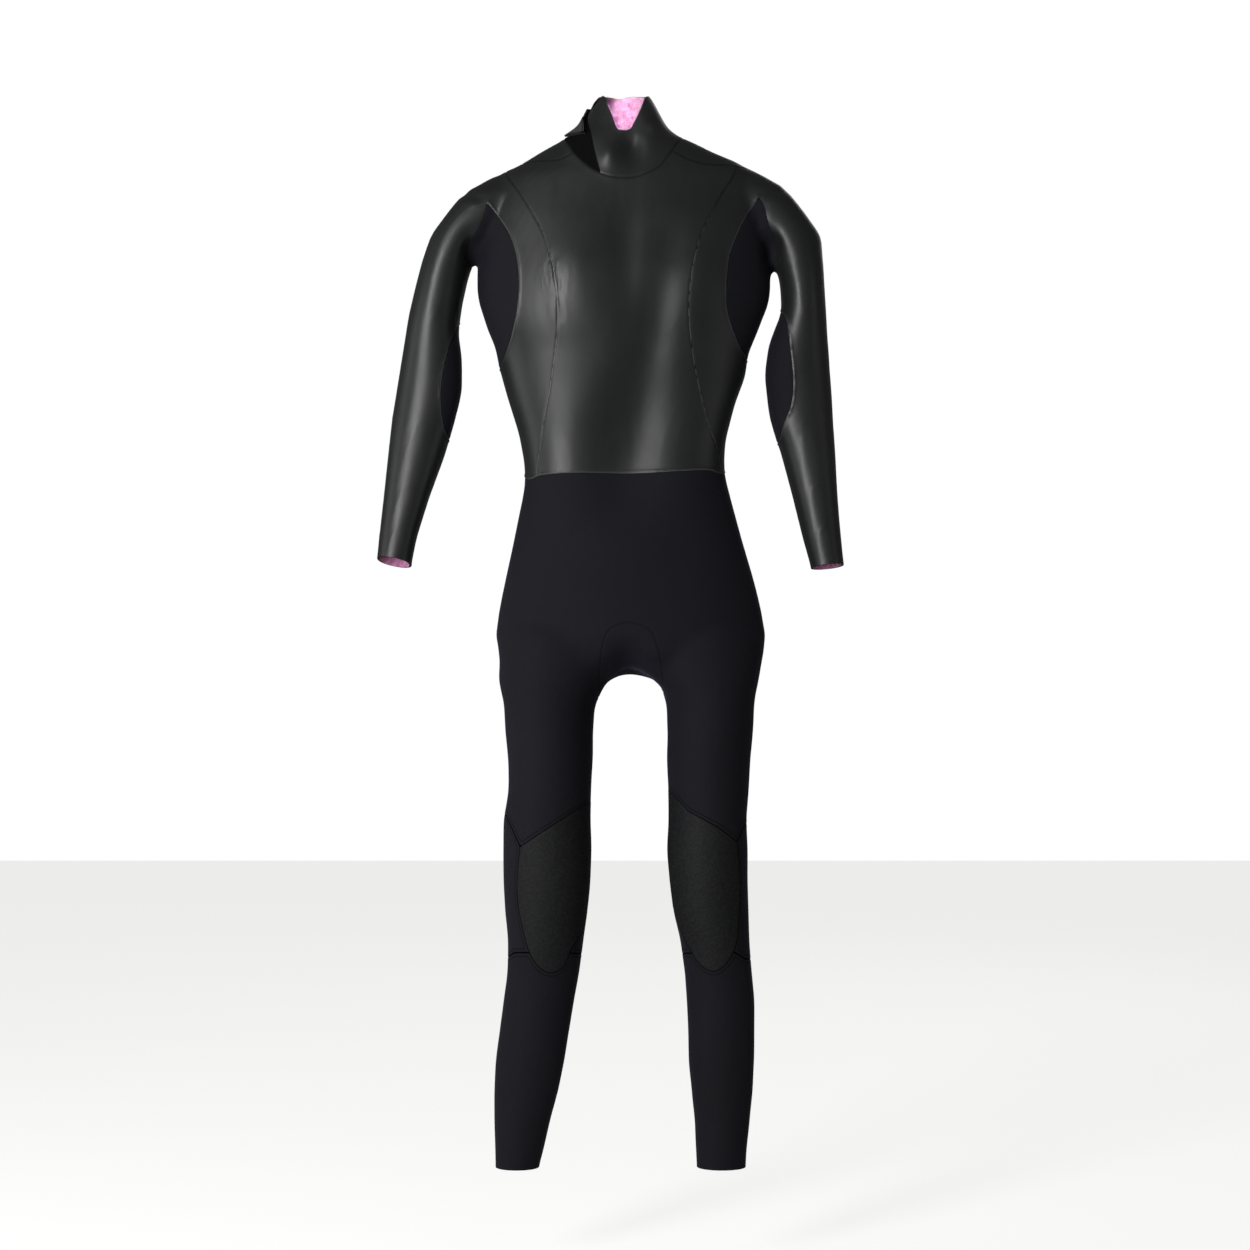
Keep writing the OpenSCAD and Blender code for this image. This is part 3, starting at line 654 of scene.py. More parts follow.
def wrist_measure(side):
    """Positive beyond the cuff, whose plane leans so that its front edge is the higher."""
    lift, lean, tilt = (-1, 0.12, 0.1) if side > 0 else (1, 0.22, 0.19)

    def measure(p):
        arm = p[:, 0] * side > 195
        edge = WRIST_Z[side] + lift - lean * (p[:, 1] + 27) + tilt * (np.abs(p[:, 0]) - 262)
        return np.where(arm, edge - p[:, 2], -50)
    return measure


def ankle_measure(p):
    return ANKLE_Z + 3 - 0.03 * p[:, 1] - p[:, 2]


def cut_panels(surface):
    """All the seams of the suit, from the rim down; gives back the surface for the tab over the collar."""
    s = surface
    s.seam(["body"], ankle_measure, "waste", sewn=False)
    for side in (-1, 1):
        s.seam(["body"], wrist_measure(side), "waste", sewn=False)
    s.seam(["body"], collar_measure, "neck")
    s.seam(["neck"], rim_measure, "waste")
    tab_surface = copy.deepcopy(s)
    # sleeves and gussets
    for side, name in SIDE_NAME.items():
        shoulder = [(side * 152, 90), (side * 152, -30), (side * 160, -48), APEX[side]]
        s.seam(["body"], zone(shoulder + list(GUSSET_ARM[side]) + GAP[side]
                              + [(side * 400, -600), (side * 400, 90)]), name + "_sleeve", sewn=False)
        s.seam(["body"], zone(list(GUSSET_BODY[side]) + [(side * 230, -290)] + GAP[side][:3][::-1]
                              + list(GUSSET_ARM[side])[::-1]), name + "_gusset", mixed=True)
        inner = list(INNER_ARM[side]) + [(side * 150, -396), (side * 150, INNER_ARM[side][0][1])]
        s.seam([name + "_sleeve"], zone(inner), name + "_inner_arm", mixed=True)
    s.seam(["body"], waist_measure, "lower", mixed=True)
    # the torso in front and behind
    s.seam(["body"], lambda p: p[:, 1], "back", sewn=False)
    for side, name in SIDE_NAME.items():
        yoke = closed_neck(YOKE[side], side)
        s.seam(["body"], zone(yoke), name + "_yoke")
        s.seam(["body"], line_measure(PRINCESS[side], side), name + "_side")
    s.seam(["back"], lambda p: -p[:, 0], "right_back")
    s.label[s.label == "back"] = "left_back"
    for side, name in SIDE_NAME.items():
        slot = [(-SLOT, 200), (SLOT, 200), (SLOT, SLOT_END), (-SLOT, SLOT_END)]
        s.seam([name + "_back"], zone(slot), "waste", sewn=False)
        s.label[s.label == name + "_yoke"] = name + "_back"
    # trousers
    s.seam(["lower"], lambda p: p[:, 1] + 5, "lower_back")
    s.seam(["lower", "lower_back"], zone(list(CROTCH) + [(48, -735), (-33, -735)]), "crotch")
    s.label[(s.label == "crotch") & (s.data[s.f, 1].mean(axis=1) > 46)] = "lower_back"
    top = [(-320, -300), (-320, -834)] + KNEE_TOP[-1] + [(0, -760)] + KNEE_TOP[1][::-1]
    top += [(320, -834), (320, -300)]
    s.seam(["lower"], zone(top), "trouser_front", flat=True)
    for side, name in SIDE_NAME.items():
        back_top = [(side * 320, -300), (side * 320, -838), (side * 150, -838), (side * 100, -843),
                    (side * 46, -838), (0, -838), (0, -300)]
        s.seam(["lower_back"], zone(back_top), name + "_seat", flat=True)
        pad = list(PAD[side]) + [(side * 20, -800)] + KNEE_TOP[side][::-1][:-1]
        s.seam(["lower"], zone(pad), name + "_pad", flat=True)
    s.label[s.label == "lower_back"] = "lower"
    for side, name in SIDE_NAME.items():
        shin = [(side * 300, -1016), (side * 150, -1014), (side * 138, -1006), (side * 60, -1007),
                (0, -1012), (0, -1400), (side * 300, -1400)]
        s.seam(["lower"], zone(shin), name + "_shin", flat=True)
        knee = (s.label == "lower") & (s.data[s.f, 0].mean(axis=1) * side > 0)
        s.label[knee] = name + "_knee_back"
    # collar
    edge = list(FREE_EDGE) + [(-200, -50), (-200, 80)]
    s.seam(["neck"], lambda p: p[:, 1] - 16, "neck_back", sewn=False)
    s.seam(["neck"], zone(edge), "patch", sewn=False)
    s.seam(["neck_back"], lambda p: -p[:, 0], "right_neck_back", sewn=False)
    s.label[s.label == "neck_back"] = "left_neck_back"
    return tab_surface


# ---------------------------------------------------------------- panels
SKIN = ("body", "right_side", "left_side", "right_back", "left_back", "right_sleeve", "left_sleeve", "neck",
        "right_neck_back", "left_neck_back")


def relief(surface):
    """Height of the surface near its seams: a fine groove, and a rolled lip where skin meets jersey."""
    seam, hem = surface.data[:, SEAM], surface.data[:, HEM]
    skin = np.zeros(len(seam), bool)
    skin[np.unique(surface.f[np.isin(surface.label, SKIN)])] = True
    groove = -0.42 * np.exp(-(seam / 0.9) ** 2) + 0.14 * np.exp(-((seam - 2.6) / 1.6) ** 2)
    lip = np.where(skin, 0.75 * np.exp(-((hem - 1.3) / 1.1) ** 2), -0.35 * np.exp(-(hem / 1.6) ** 2))
    return groove + lip


def panel_object(name, surface, labels, wall=WALL, proud=0.0):
    """A closed panel: outer skin, lining offset by the wall, and the cut edge between them."""
    faces = surface.f[np.isin(surface.label, labels)]
    used, faces = np.unique(faces, return_inverse=True)
    faces = faces.reshape(-1, 3)
    data = surface.data[used]
    proud, wall = (value[used] if np.ndim(value) else value for value in (proud, wall))
    normal = data[:, 3:6]
    outer = data[:, :3] + normal * (surface.relief[used] + proud)[:, None]
    inner = data[:, :3] - normal * (wall * np.ones(len(data)))[:, None]
    count = len(used)
    directed = np.vstack([faces[:, [0, 1]], faces[:, [1, 2]], faces[:, [2, 0]]])
    keys = directed[:, 0] * count + directed[:, 1]
    back = directed[:, 1] * count + directed[:, 0]
    rim = directed[~np.isin(keys, back)]
    # the rim joins the two faces along the cut; normals of its own, below, keep its corners crisp
    rim_faces = np.vstack([np.column_stack([rim[:, 1], rim[:, 0], rim[:, 0] + count]),
                           np.column_stack([rim[:, 1], rim[:, 0] + count, rim[:, 1] + count])])
    verts = np.vstack([outer, inner]) * MM
    all_faces = np.vstack([faces, faces[:, ::-1] + count, rim_faces])
    mesh = bpy.data.meshes.new(name)
    mesh.vertices.add(len(verts))
    mesh.vertices.foreach_set("co", verts.ravel())
    mesh.loops.add(len(all_faces) * 3)
    mesh.loops.foreach_set("vertex_index", all_faces.ravel().astype(np.int32))
    mesh.polygons.add(len(all_faces))
    mesh.polygons.foreach_set("loop_start", np.arange(0, len(all_faces) * 3, 3, dtype=np.int32))
    mesh.polygons.foreach_set("loop_total", np.full(len(all_faces), 3, np.int32))
    mesh.update(calc_edges=True)
    part = np.repeat([0, 1, 2], [len(faces), len(faces), len(rim_faces)]).astype(np.int32)
    mesh.polygons.foreach_set("material_index", part)
    mesh.polygons.foreach_set("use_smooth", np.ones(len(all_faces), bool))
    for attribute, column in (("seam_near", SEAM), ("hem_near", HEM), ("stitch_near", STITCH)):
        near = mesh.attributes.new(attribute, "FLOAT", "POINT")
        near.data.foreach_set("value", np.tile(data[:, column], 2).astype(np.float32))
    # the skin keeps the whole body's shading, so that panels meet without a kink
    whole = surface.shading[used]
    loops = np.zeros((len(all_faces) * 3, 3))
    loops[:len(faces) * 3] = whole[faces.ravel()]
    loops[len(faces) * 3:len(faces) * 6] = -normal[faces[:, ::-1].ravel()]
    first, second, third = (verts[rim_faces[:, k]] for k in range(3))
    flat = np.cross(second - first, third - first)
    flat /= np.maximum(np.linalg.norm(flat, axis=1), 1e-12)[:, None]
    loops[len(faces) * 6:] = np.repeat(flat, 3, axis=0)
    mesh.normals_split_custom_set(loops.tolist())
    obj = bpy.data.objects.new(name, mesh)
    bpy.context.scene.collection.objects.link(obj)
    return obj


def whole_shading(surface):
    """Relief of the whole surface and its normals, before it is parted into panels."""
    surface.relief = relief(surface)
    place = surface.data[:, :3] + surface.data[:, 3:6] * surface.relief[:, None]
    surface.shading = vertex_normals(place, surface.f[surface.label != "waste"])


# ---------------------------------------------------------------- materials
class Finish:
    """A material and its node tree. Distances come from the panel's own attributes, in millimetres."""

    def __init__(self, name):
        self.material = bpy.data.materials.new(name)
        self.material.use_nodes = True
        self.nodes, self.links = self.material.node_tree.nodes, self.material.node_tree.links
        self.shader = next(node for node in self.nodes if node.type == "BSDF_PRINCIPLED")
        self.coords = self.nodes.new("ShaderNodeTexCoord").outputs["Object"]

    def feed(self, socket, value):
        """Gives a socket a number, a colour or another node's output."""
        if isinstance(value, (int, float, tuple)):
            socket.default_value = value
        else:
            self.links.new(value, socket)

    def put(self, socket, value):
        self.feed(self.shader.inputs[socket], value)

    def node(self, kind, **inputs):
        node = self.nodes.new(kind)
        for socket, value in inputs.items():
            self.feed(node.inputs[socket], value)
        return node

    def mapped(self, **inputs):
        """The place in the piece, stretched or turned."""
        return self.node("ShaderNodeMapping", Vector=self.coords, **inputs).outputs["Vector"]

    def noise(self, scale, detail=3.0, rough=0.5, stretch=None):
        place = self.mapped(Scale=stretch) if stretch else self.coords
        return self.node("ShaderNodeTexNoise", Scale=scale, Detail=detail, Roughness=rough,
                         Vector=place).outputs["Fac"]

    def knit(self, pitch, turn=0.0):
        """Height of a fine jersey knit: courses across wales."""
        place = self.mapped(Rotation=(0, turn, 0))
        waves = []
        for direction in ("X", "Z"):
            wave = self.node("ShaderNodeTexWave", Scale=1 / pitch / 3.2, Distortion=0.6, Detail=1.0,
                             Vector=place)
            wave.bands_direction = direction
            waves.append(wave.outputs["Fac"])
        return self.times(waves[0], waves[1])

    def ramp(self, source, *stops):
        """Colours along a value; a stop is its place with a grey level or a colour."""
        node = self.node("ShaderNodeValToRGB", Fac=source)
        elements = node.color_ramp.elements
        while len(elements) < len(stops):
            elements.new(0.5)
        for element, (place, colour) in zip(elements, stops):
            element.position = place
            element.color = (*(colour if isinstance(colour, tuple) else (colour,) * 3), 1)
        return node.outputs["Color"]

    def maths(self, operation, a, b):
        node = self.node("ShaderNodeMath")
        node.operation = operation
        self.feed(node.inputs[0], a)
        self.feed(node.inputs[1], b)
        return node.outputs[0]

    def times(self, a, b):
        return self.maths("MULTIPLY", a, b)

    def total(self, a, share_a, b, share_b):
        return self.maths("ADD", self.times(a, share_a), self.times(b, share_b))

    def bumped(self, height, strength, distance):
        self.put("Normal", self.node("ShaderNodeBump", Strength=strength, Distance=distance,
                                     Height=height).outputs["Normal"])

    def distance(self, attribute):
        node = self.node("ShaderNodeAttribute")
        node.attribute_name = attribute
        return node.outputs["Fac"]

    def near(self, attribute, full, none):
        """1 close to a seam and 0 away from it."""
        limits = {"From Min": full, "From Max": none, "To Min": 1, "To Max": 0}
        return self.node("ShaderNodeMapRange", Value=self.distance(attribute), **limits).outputs["Result"]

    def blended(self, factor, base, colour, blend="MIX"):
        """The base colour blended with another colour by a factor."""
        mix = self.node("ShaderNodeMix")
        mix.data_type, mix.blend_type = "RGBA", blend
        self.feed(mix.inputs["Factor"], factor)
        self.feed(mix.inputs[6], base)
        self.feed(mix.inputs[7], colour)
        return mix.outputs[2]

    def dark_seam(self, tone, full, none, colour):
        return self.blended(self.near("seam_near", full, none), tone, colour)

    def flat_seam(self, tone):
        """Darkens a base colour along a flat-stitched seam and along the row of stitches beside it."""
        rows = self.ramp(self.times(self.distance("stitch_near"), 0.1), (0.0, 0.1), (0.06, 0.1), (0.12, 1),
                         (0.38, 1), (0.43, 0.5), (0.49, 0.5), (0.55, 1))
        return self.blended(1.0, tone, rows, "MULTIPLY"), rows


SEAM_BLACK = (0.002, 0.002, 0.002, 1)
# painted highlight colour, laid on the smooth skin's seam lips and seam dashes
PAINTED_SEAM_HIGHLIGHT = (0.075, 0.078, 0.08, 1)
WRINKLES_AT = (-0.087, -0.082, -0.172)            # beside the right princess seam, in metres


def smooth_skin_material():
    """Glide-skin neoprene: charcoal, satin, with a fine leathery grain, worn streaks in its gloss, and a
    painted highlight along its seams.
    """
    m = Finish("smooth_skin_neoprene")
    cloud = m.noise(9, 4)
    grain = m.noise(900, 2, 0.6)
    pores = m.noise(2600, 2, 0.6)
    streak = m.noise(60, 3, 0.55, (1, 1, 0.25))
    tone = m.ramp(cloud, (0.3, (0.0125, 0.0135, 0.0133)), (0.7, (0.018, 0.019, 0.0188)))
    # painted highlight: the base colour is paled along the rolled lip against jersey, and lower down in
    # broken dashes along the glued seams, where their ridges would catch the light
    height_above = m.node("ShaderNodeSeparateXYZ", Vector=m.coords).outputs["Z"]
    below = m.ramp(m.times(height_above, -4.0), (0.3, 0.12), (0.6, 1))
    # painted highlight in broken dashes along the lower seams, standing in for light on their ridges
    highlight_dashes = m.ramp(m.noise(260, 2, 0.5, (1, 1, 0.5)), (0.38, 0), (0.5, 1))
    dashed_seam_highlight = m.times(m.near("seam_near", 0.2, 1.0), highlight_dashes)
    painted_highlight = m.maths("MAXIMUM", m.times(m.near("hem_near", 0.3, 2.6), 0.7), m.times(dashed_seam_highlight, below))
    tone = m.dark_seam(tone, 0.8, 1.7, SEAM_BLACK)
    m.put("Base Color", m.blended(painted_highlight, tone, PAINTED_SEAM_HIGHLIGHT))
    m.put("Roughness", m.ramp(m.total(streak, 0.55, grain, 0.45), (0.3, 0.35), (0.7, 0.47)))
    # a small patch of fine wrinkles
    offset = m.node("ShaderNodeVectorMath")
    offset.operation = "DISTANCE"
    offset.inputs[1].default_value = WRINKLES_AT
    m.feed(offset.inputs[0], m.coords)
    patch = m.ramp(m.times(offset.outputs["Value"], 10.0), (0.08, 1), (0.26, 0))
    wrinkles = m.times(m.noise(330, 2, 0.5, (1, 1, 0.22)), 5.0)
    height = m.maths("ADD", m.total(grain, 0.7, pores, 0.3), m.times(patch, wrinkles))
    m.bumped(height, 0.28, 0.0003)
    m.put("Specular IOR Level", 0.55)
    return m.material


def tab_material():
    """Smooth skin of the hook tab, with a dark stitched hem inside its edge."""
    m = Finish("hook_tab_skin")
    grain = m.noise(900, 2, 0.6)
    hem = m.ramp(m.times(m.distance("seam_near"), 0.1), (0.0, 0.006), (0.12, 0.006), (0.15, 1), (0.25, 1),
                 (0.28, 0.1), (0.36, 0.1), (0.4, 1))
    base = m.ramp(grain, (0.3, (0.062, 0.063, 0.064)), (0.7, (0.082, 0.083, 0.084)))
    m.put("Base Color", m.blended(1.0, base, hem, "MULTIPLY"))
    m.put("Roughness", m.ramp(grain, (0.3, 0.42), (0.7, 0.52)))
    m.put("Specular IOR Level", m.times(hem, 0.5))
    m.bumped(hem, 0.5, 0.0005)
    return m.material


def jersey_material():
    """Matte stretch nylon jersey, blue-black, with a fine knit."""
    m = Finish("blue_black_jersey")
    weave = m.knit(0.0011)
    fuzz = m.noise(1500, 3, 0.6)
    tone = m.ramp(m.total(m.noise(7, 4), 0.6, fuzz, 0.4),
                  (0.3, (0.005, 0.005, 0.0086)), (0.7, (0.0084, 0.0084, 0.0134)))
    tone, rows = m.flat_seam(m.dark_seam(tone, 0.3, 1.6, (0.002, 0.002, 0.003, 1)))
    m.put("Base Color", tone)
    m.bumped(m.total(m.total(weave, 1, fuzz, 0.6), 1, rows, 1.2), 0.35, 0.0003)
    m.put("Roughness", 0.82)
    m.put("Specular IOR Level", m.times(rows, 0.28))
    m.put("Sheen Weight", m.times(rows, 0.12))
    m.put("Sheen Roughness", 0.4)
    m.put("Sheen Tint", (0.5, 0.5, 0.85, 1))
    return m.material


def knee_pad_material():
    """Abrasion cloth: charcoal with a small broken diamond relief."""
    m = Finish("knee_pad_cloth")
    diamonds = m.mapped(Rotation=(0, math.radians(45), 0), Scale=(1, 0.4, 1))
    cells = m.node("ShaderNodeTexVoronoi", Scale=300, Randomness=0.8, Vector=diamonds).outputs["Distance"]
    tone = m.ramp(cells, (0.15, (0.0115, 0.012, 0.0135)), (0.6, (0.0042, 0.0046, 0.0055)))
    m.put("Base Color", m.dark_seam(tone, 0.3, 1.8, SEAM_BLACK))
    m.bumped(m.total(cells, -1.0, m.noise(1400, 3, 0.6), 0.3), 0.6, 0.0006)
    m.put("Roughness", 0.72)
    m.put("Specular IOR Level", 0.35)
    return m.material


def plush_material():
    """Pink brushed plush lining, mottled where the pile lies differently."""
    m = Finish("pink_plush_lining")
    mottle = m.noise(140, 5, 0.65)
    pile = m.noise(1100, 4, 0.7)
    m.put("Base Color", m.ramp(m.total(mottle, 0.75, pile, 0.25),
                               (0.38, (0.6, 0.18, 0.4)), (0.5, (0.84, 0.38, 0.64)),
                               (0.64, (0.95, 0.62, 0.82))))
    m.bumped(m.total(mottle, 1, pile, 0.6), 0.7, 0.0012)
    m.put("Roughness", 0.9)
    m.put("Sheen Weight", 0.5)
    m.put("Sheen Tint", (1, 0.7, 0.85, 1))
    return m.material


def foam_edge_material():
    """The cut edge of the neoprene: matte black foam."""
    m = Finish("cut_neoprene_edge")
    cells = m.noise(2400, 3, 0.6)
    m.put("Base Color", m.ramp(cells, (0.3, 0.006), (0.7, 0.016)))
    m.bumped(cells, 0.5, 0.0004)
    m.put("Roughness", 0.75)
    return m.material


def loop_pile_material():
    """Black loop fabric of the fastener."""
    m = Finish("black_loop_pile")
    loops = m.total(m.noise(1300, 4, 0.75), 0.6, m.noise(300, 3, 0.6), 0.4)
    m.put("Base Color", m.ramp(loops, (0.3, 0.0025), (0.7, 0.0075)))
    m.bumped(loops, 0.9, 0.0008)
    m.put("Roughness", 0.95)
    m.put("Specular IOR Level", 0.08)
    return m.material


def plastic_material():
    """Moulded black acetal of the zip."""
    m = Finish("moulded_black_acetal")
    mottle = m.noise(700, 3, 0.6)
    m.put("Base Color", m.ramp(mottle, (0.3, 0.010), (0.7, 0.018)))
    m.put("Roughness", m.ramp(mottle, (0.3, 0.32), (0.7, 0.44)))
    m.bumped(mottle, 0.15, 0.0002)
    return m.material


def tape_material():
    """Woven black zip tape."""
    m = Finish("woven_zip_tape")
    weave = m.knit(0.0008, math.radians(45))
    m.put("Base Color", m.ramp(weave, (0.1, 0.006), (0.7, 0.017)))
    m.bumped(weave, 0.7, 0.0004)
    m.put("Roughness", 0.8)
    return m.material


# ---------------------------------------------------------------- build
FINISH = {
    "skin": smooth_skin_material(), "jersey": jersey_material(), "pad": knee_pad_material(),
    "plush": plush_material(), "foam": foam_edge_material(), "loop": loop_pile_material(),
    "tab": tab_material(), "plastic": plastic_material(), "tape": tape_material(),
}
PAD_PROUD = 0.35                                  # how far the knee pads stand out of the jersey


def finish_panel(obj, outside):
    """The outer face's own finish, plush inside and foam at the cut edge."""
    for key in (outside, "plush", "foam"):
        obj.data.materials.append(FINISH[key])


def bend_at(obj):
    """Bakes a piece's place into its mesh."""
    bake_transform(obj)


# Pieces that keep their shape: name, panel, finish, CAD node.
MIDDLE_PIECES = [
    ("chest_front", "body", "skin", "chest_panel"),
    ("trouser_front_jersey", "trouser_front", "jersey", "trouser_front"),
    ("crotch_gusset_jersey", "crotch", "jersey", "crotch_gusset"),
    ("collar_front_skin", "neck", "skin", "collar_front"),
    ("right_collar_back_skin", "right_neck_back", "skin", "right_collar_back"),
    ("left_collar_back_skin", "left_neck_back", "skin", "left_collar_back"),
    ("collar_loop_pile", "patch", "loop", "collar_loop_patch"),
]
# The same, one on each side; every text follows "right_" or "left_".
SIDE_PIECES = [
    ("side_front", "side", "skin", "side_panel"),
    ("back_and_yoke", "back", "skin", "back_panel"),
    ("underarm_jersey", "gusset", "jersey", "underarm_gusset"),
    ("seat_jersey", "seat", "jersey", "trouser_back"),
]
# Pieces over the elbows and knees, one on each side: name, panel, finish, joint, CAD nodes.
BENDING_PIECES = [
    ("sleeve_skin", "sleeve", "skin", "elbow", ["upper_sleeve", "elbow_sleeve", "lower_sleeve"]),
    ("inner_arm_jersey", "inner_arm", "jersey", "elbow", ["inner_arm_panel"]),
    ("knee_pad_cloth", "pad", "pad", "knee", ["knee_pad"]),
    ("knee_back_jersey", "knee_back", "jersey", "knee", ["knee_back"]),
]


def build_panels(surface):
    fixed = list(MIDDLE_PIECES)
    for side in ("right_", "left_"):
        for name, label, outside, node in SIDE_PIECES:
            fixed.append((side + name, side + label, outside, side + node))
    for name, label, outside, node in fixed:
        obj = panel_object(name, surface, [label])
        finish_panel(obj, outside)
        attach(obj, "suit")
        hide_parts(node)
    for side in ("right_", "left_"):
        for name, label, outside, joint, nodes in BENDING_PIECES:
            proud = PAD_PROUD if outside == "pad" else 0
            obj = panel_object(side + name, surface, [side + label], proud=proud)
            finish_panel(obj, outside)
            bend_at(obj)
            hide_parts(*[side + node for node in nodes])
        obj = panel_object(side + "shin_jersey", surface, [side + "shin"])
        finish_panel(obj, "jersey")
        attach(obj, side + "shin")
        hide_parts(side + "lower_leg")


def tab_measure(p):
    """Positive where the hook tab lies: round the wearer's right of the neck, from the nape to the front."""
    x, z = front_view(p)
    reach = np.where(p[:, 1] < 0, -48.5 - x, -4.0 - p[:, 0])
    low = np.interp(x, [-76, -49], [12, 17]) + 6 * between(p[:, 1], 0, 40)
    return np.minimum(np.minimum(reach, z - low), 46.8 - z)


def build_tab(surface):
    """The hook tab: a stitched strip from the nape round the neck, standing a little off its patch."""
    surface.seam(["neck", "neck_back", "patch"], tab_measure, "tab")
    data = surface.bare()
    tip = between(data[:, 0], -30, -60) * between(data[:, 1], 26, -10)
    lift = 1.3 + 3.2 * tip * between(data[:, 2], 14, 46)
    obj = panel_object("collar_tab_skin", surface, ["tab"], wall=-lift, proud=lift + 2.5)
    for key in ("tab", "loop", "foam"):
        obj.data.materials.append(FINISH[key])
    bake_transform(obj)
    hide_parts("collar_hook_tab")


FLAP_DEPTH, FLAP_TOP = 6.0, 26.0


def flap_measure(p):
    """Positive where the long flap lies behind the zip."""
    half = mm_box("zip_underflap")[1][0]
    across = half - np.abs(p[:, 0])
    along = np.minimum(FLAP_TOP - p[:, 2], p[:, 2] - SLOT_END + 4)
    return np.minimum(np.minimum(across, along), p[:, 1] - 20)


def build_flap(surface):
    """The flap behind the teeth: sewn to the wearer's left back panel, loose on its right."""
    surface.seam(["body", "neck"], flap_measure, "flap", sewn=False)
    data = surface.bare()
    depth = np.interp(data[:, 0], [SLOT + 5, SLOT + 12], [FLAP_DEPTH, WALL + 0.1])
    obj = panel_object("zip_underflap_jersey", surface, ["flap"], wall=FLAP_DEPTH + 2.5, proud=-depth)
    finish_panel(obj, "jersey")
    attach(obj, "suit")
    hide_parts("zip_underflap")


TAPE_RIBS = 5
TAPE_CELLS = (25, 140)                            # points across and along a tape


def build_tape(node):
    """A woven zip tape: ribbed lengthwise, with soft edges."""
    part = bpy.data.objects[node]
    corners = np.array([part.matrix_world @ corner.co for corner in part.data.vertices]) / MM
    offset = corners[:, 1] - back_y(corners[:, 2])
    inner, outer = offset.min(), offset.max()
    low, high = mm_box(node)
    across, along = TAPE_CELLS
    u, w = np.meshgrid(np.linspace(0, 1, across), np.linspace(0, 1, along))
    u, w = u.ravel(), w.ravel()
    x, z = low[0] + (high[0] - low[0]) * u, low[2] + (high[2] - low[2]) * w
    v = np.column_stack([x, back_y(z) + outer, z])
    cell = (np.arange(along - 1)[:, None] * across + np.arange(across - 1)).ravel()
    f = np.vstack([np.column_stack([cell, cell + across, cell + 1]),
                   np.column_stack([cell + 1, cell + across, cell + across + 1])])
    n = np.tile([0.0, 1.0, 0.0], (len(v), 1))
    surface = Surface(v, n, f)
    surface.label[:] = "tape"
    edge = np.minimum(u, 1 - u)
    ribs = -0.12 * np.abs(np.cos(u * math.pi * TAPE_RIBS))
    surface.relief = ribs - 0.35 * (1 - between(edge, 0, 0.06))
    surface.shading = vertex_normals(v + n * surface.relief[:, None], f)
    obj = panel_object(node.replace("zip_tape", "woven_zip_tape"), surface, ["tape"], wall=outer - inner)
    obj.data.materials.append(FINISH["tape"])
    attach(obj, "suit")
    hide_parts(node)


def dress_cad_parts():
    """The hard zip parts keep their exact shapes and get their finish."""
    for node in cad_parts:
        obj = bpy.data.objects.get(node)
        if obj is None or not node.startswith("zip_") or "tape" in node or "flap" in node:
            continue
        obj.data.materials.clear()
        obj.data.materials.append(FINISH["plastic"])


# ---------------------------------------------------------------- floor, light and camera
FLOOR_HALF, FLOOR_GAP = 6.0, 0.12                 # half its width, and how far it lies below the ankles
FLOOR_GLOW = 0.78                                 # seen by the camera only, so it lights nothing
WORLD_LIGHT = 0.10
FRAME_WIDTH = 1.5625                              # what the camera takes in at the suit's distance
# Area lights: name, place, aim, watts, width, height.
SOFTBOXES = [
    ("left_softbox", (-1.3, -2.05, -0.1), (0, 0, -0.45), 40, 0.6, 1.5),
    ("side_softbox", (-2.4, -0.35, -0.5), (0, 0, -0.5), 9, 0.9, 1.5),
    ("front_fill", (0.5, -2.6, 0.5), (0, 0, -0.6), 0.8, 1.0, 0.6),
    ("right_side_strip", (2.0, -0.9, -0.6), (0, 0, -0.6), 1.6, 0.8, 1.3),
    ("back_softbox", (1.2, 2.6, 0.9), (0, 0, -0.5), 7, 1.2, 1.2),
]


def area_lamp(name, place, aim, power, width, height):
    light = bpy.data.lights.new(name, "AREA")
    light.shape = "RECTANGLE"
    light.size, light.size_y, light.energy = width, height, power
    lamp = bpy.data.objects.new(name, light)
    lamp.location = place
    lamp.rotation_euler = (Vector(aim) - Vector(place)).to_track_quat("-Z", "Y").to_euler()
    lamp.visible_camera = False
    bpy.context.scene.collection.objects.link(lamp)
    return lamp


def lay_floor():
    mesh = bpy.data.meshes.new("floor")
    half, level = FLOOR_HALF, cad_box[0][2] - FLOOR_GAP
    mesh.from_pydata([(-half, -half, level), (half, -half, level), (half, half, level), (-half, half, level)],
                     [], [(0, 1, 2, 3)])
    floor = bpy.data.objects.new("floor", mesh)
    bpy.context.scene.collection.objects.link(floor)
    m = Finish("pale_floor")
    m.put("Base Color", (0.5, 0.5, 0.49, 1))
    m.put("Roughness", 0.95)
    m.put("Emission Color", (1, 1, 0.99, 1))
    m.put("Emission Strength", m.times(m.node("ShaderNodeLightPath").outputs["Is Camera Ray"], FLOOR_GLOW))
    mesh.materials.append(m.material)


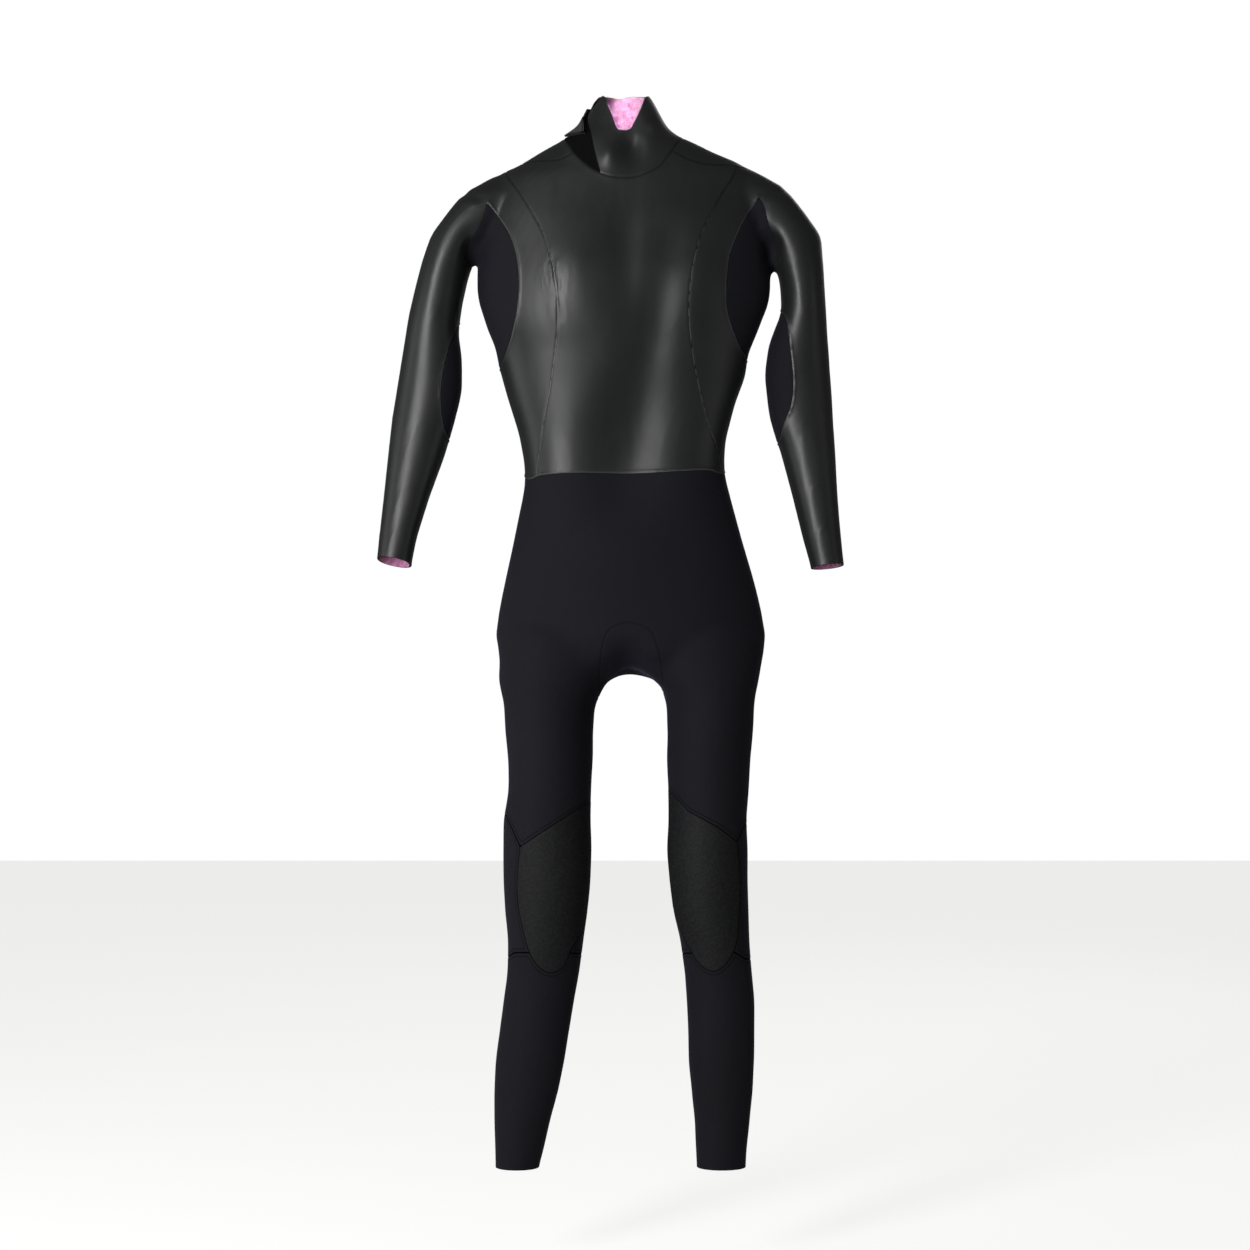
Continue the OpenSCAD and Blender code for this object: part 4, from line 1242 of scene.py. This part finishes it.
def light_world():
    """White to the camera, and a weak even light on everything else."""
    world = bpy.data.worlds.new("soft_studio")
    world.use_nodes = True
    nodes, links = world.node_tree.nodes, world.node_tree.links
    mix = nodes.new("ShaderNodeMixShader")
    links.new(nodes.new("ShaderNodeLightPath").outputs["Is Camera Ray"], mix.inputs["Fac"])
    backgrounds = (nodes["Background"], nodes.new("ShaderNodeBackground"))
    for background, strength, socket in zip(backgrounds, (WORLD_LIGHT, 1.0), (mix.inputs[1], mix.inputs[2])):
        background.inputs["Color"].default_value = (1, 1, 1, 1)
        background.inputs["Strength"].default_value = strength
        links.new(background.outputs["Background"], socket)
    links.new(mix.outputs["Shader"], nodes["World Output"].inputs["Surface"])
    bpy.context.scene.world = world


def stage():
    """Pale floor, soft light mostly from the suit's right, and a camera square to the chest."""
    lay_floor()
    light_world()
    bpy.context.scene.view_settings.view_transform = "Standard"
    for each in SOFTBOXES:
        area_lamp(*each)
    # a small, faint lamp aimed at the dip of the collar and the lining behind it
    lamp = area_lamp("collar_lamp", (0.02, -1.3, -0.15), (0.005, 0.03, 0.045), 0.01, 0.04, 0.04)
    lamp.data.spread = math.radians(2.2)
    lamp.visible_glossy = False
    camera = bpy.data.cameras.new("front_camera")
    distance = EYE_DISTANCE * MM
    camera.angle = 2 * math.atan(FRAME_WIDTH / 2 / distance)
    view = bpy.data.objects.new("front_camera", camera)
    view.location = (0, -distance, EYE_Z * MM)
    view.rotation_euler = (math.pi / 2, 0, 0)
    bpy.context.scene.collection.objects.link(view)
    bpy.context.scene.camera = view


def main():
    v, f = skin_body()
    v = relax(v, f)
    v = shape_body(v, vertex_normals(v, f))
    v = add_folds(v, vertex_normals(v, f))
    surface = Surface(v, vertex_normals(v, f), f)
    tab_surface = cut_panels(surface)
    whole_shading(surface)
    build_panels(surface)
    build_flap(copy.deepcopy(tab_surface))
    build_tab(tab_surface)
    for node in ("zip_tape_right", "zip_tape_left"):
        build_tape(node)
    dress_cad_parts()
    stage()


main()
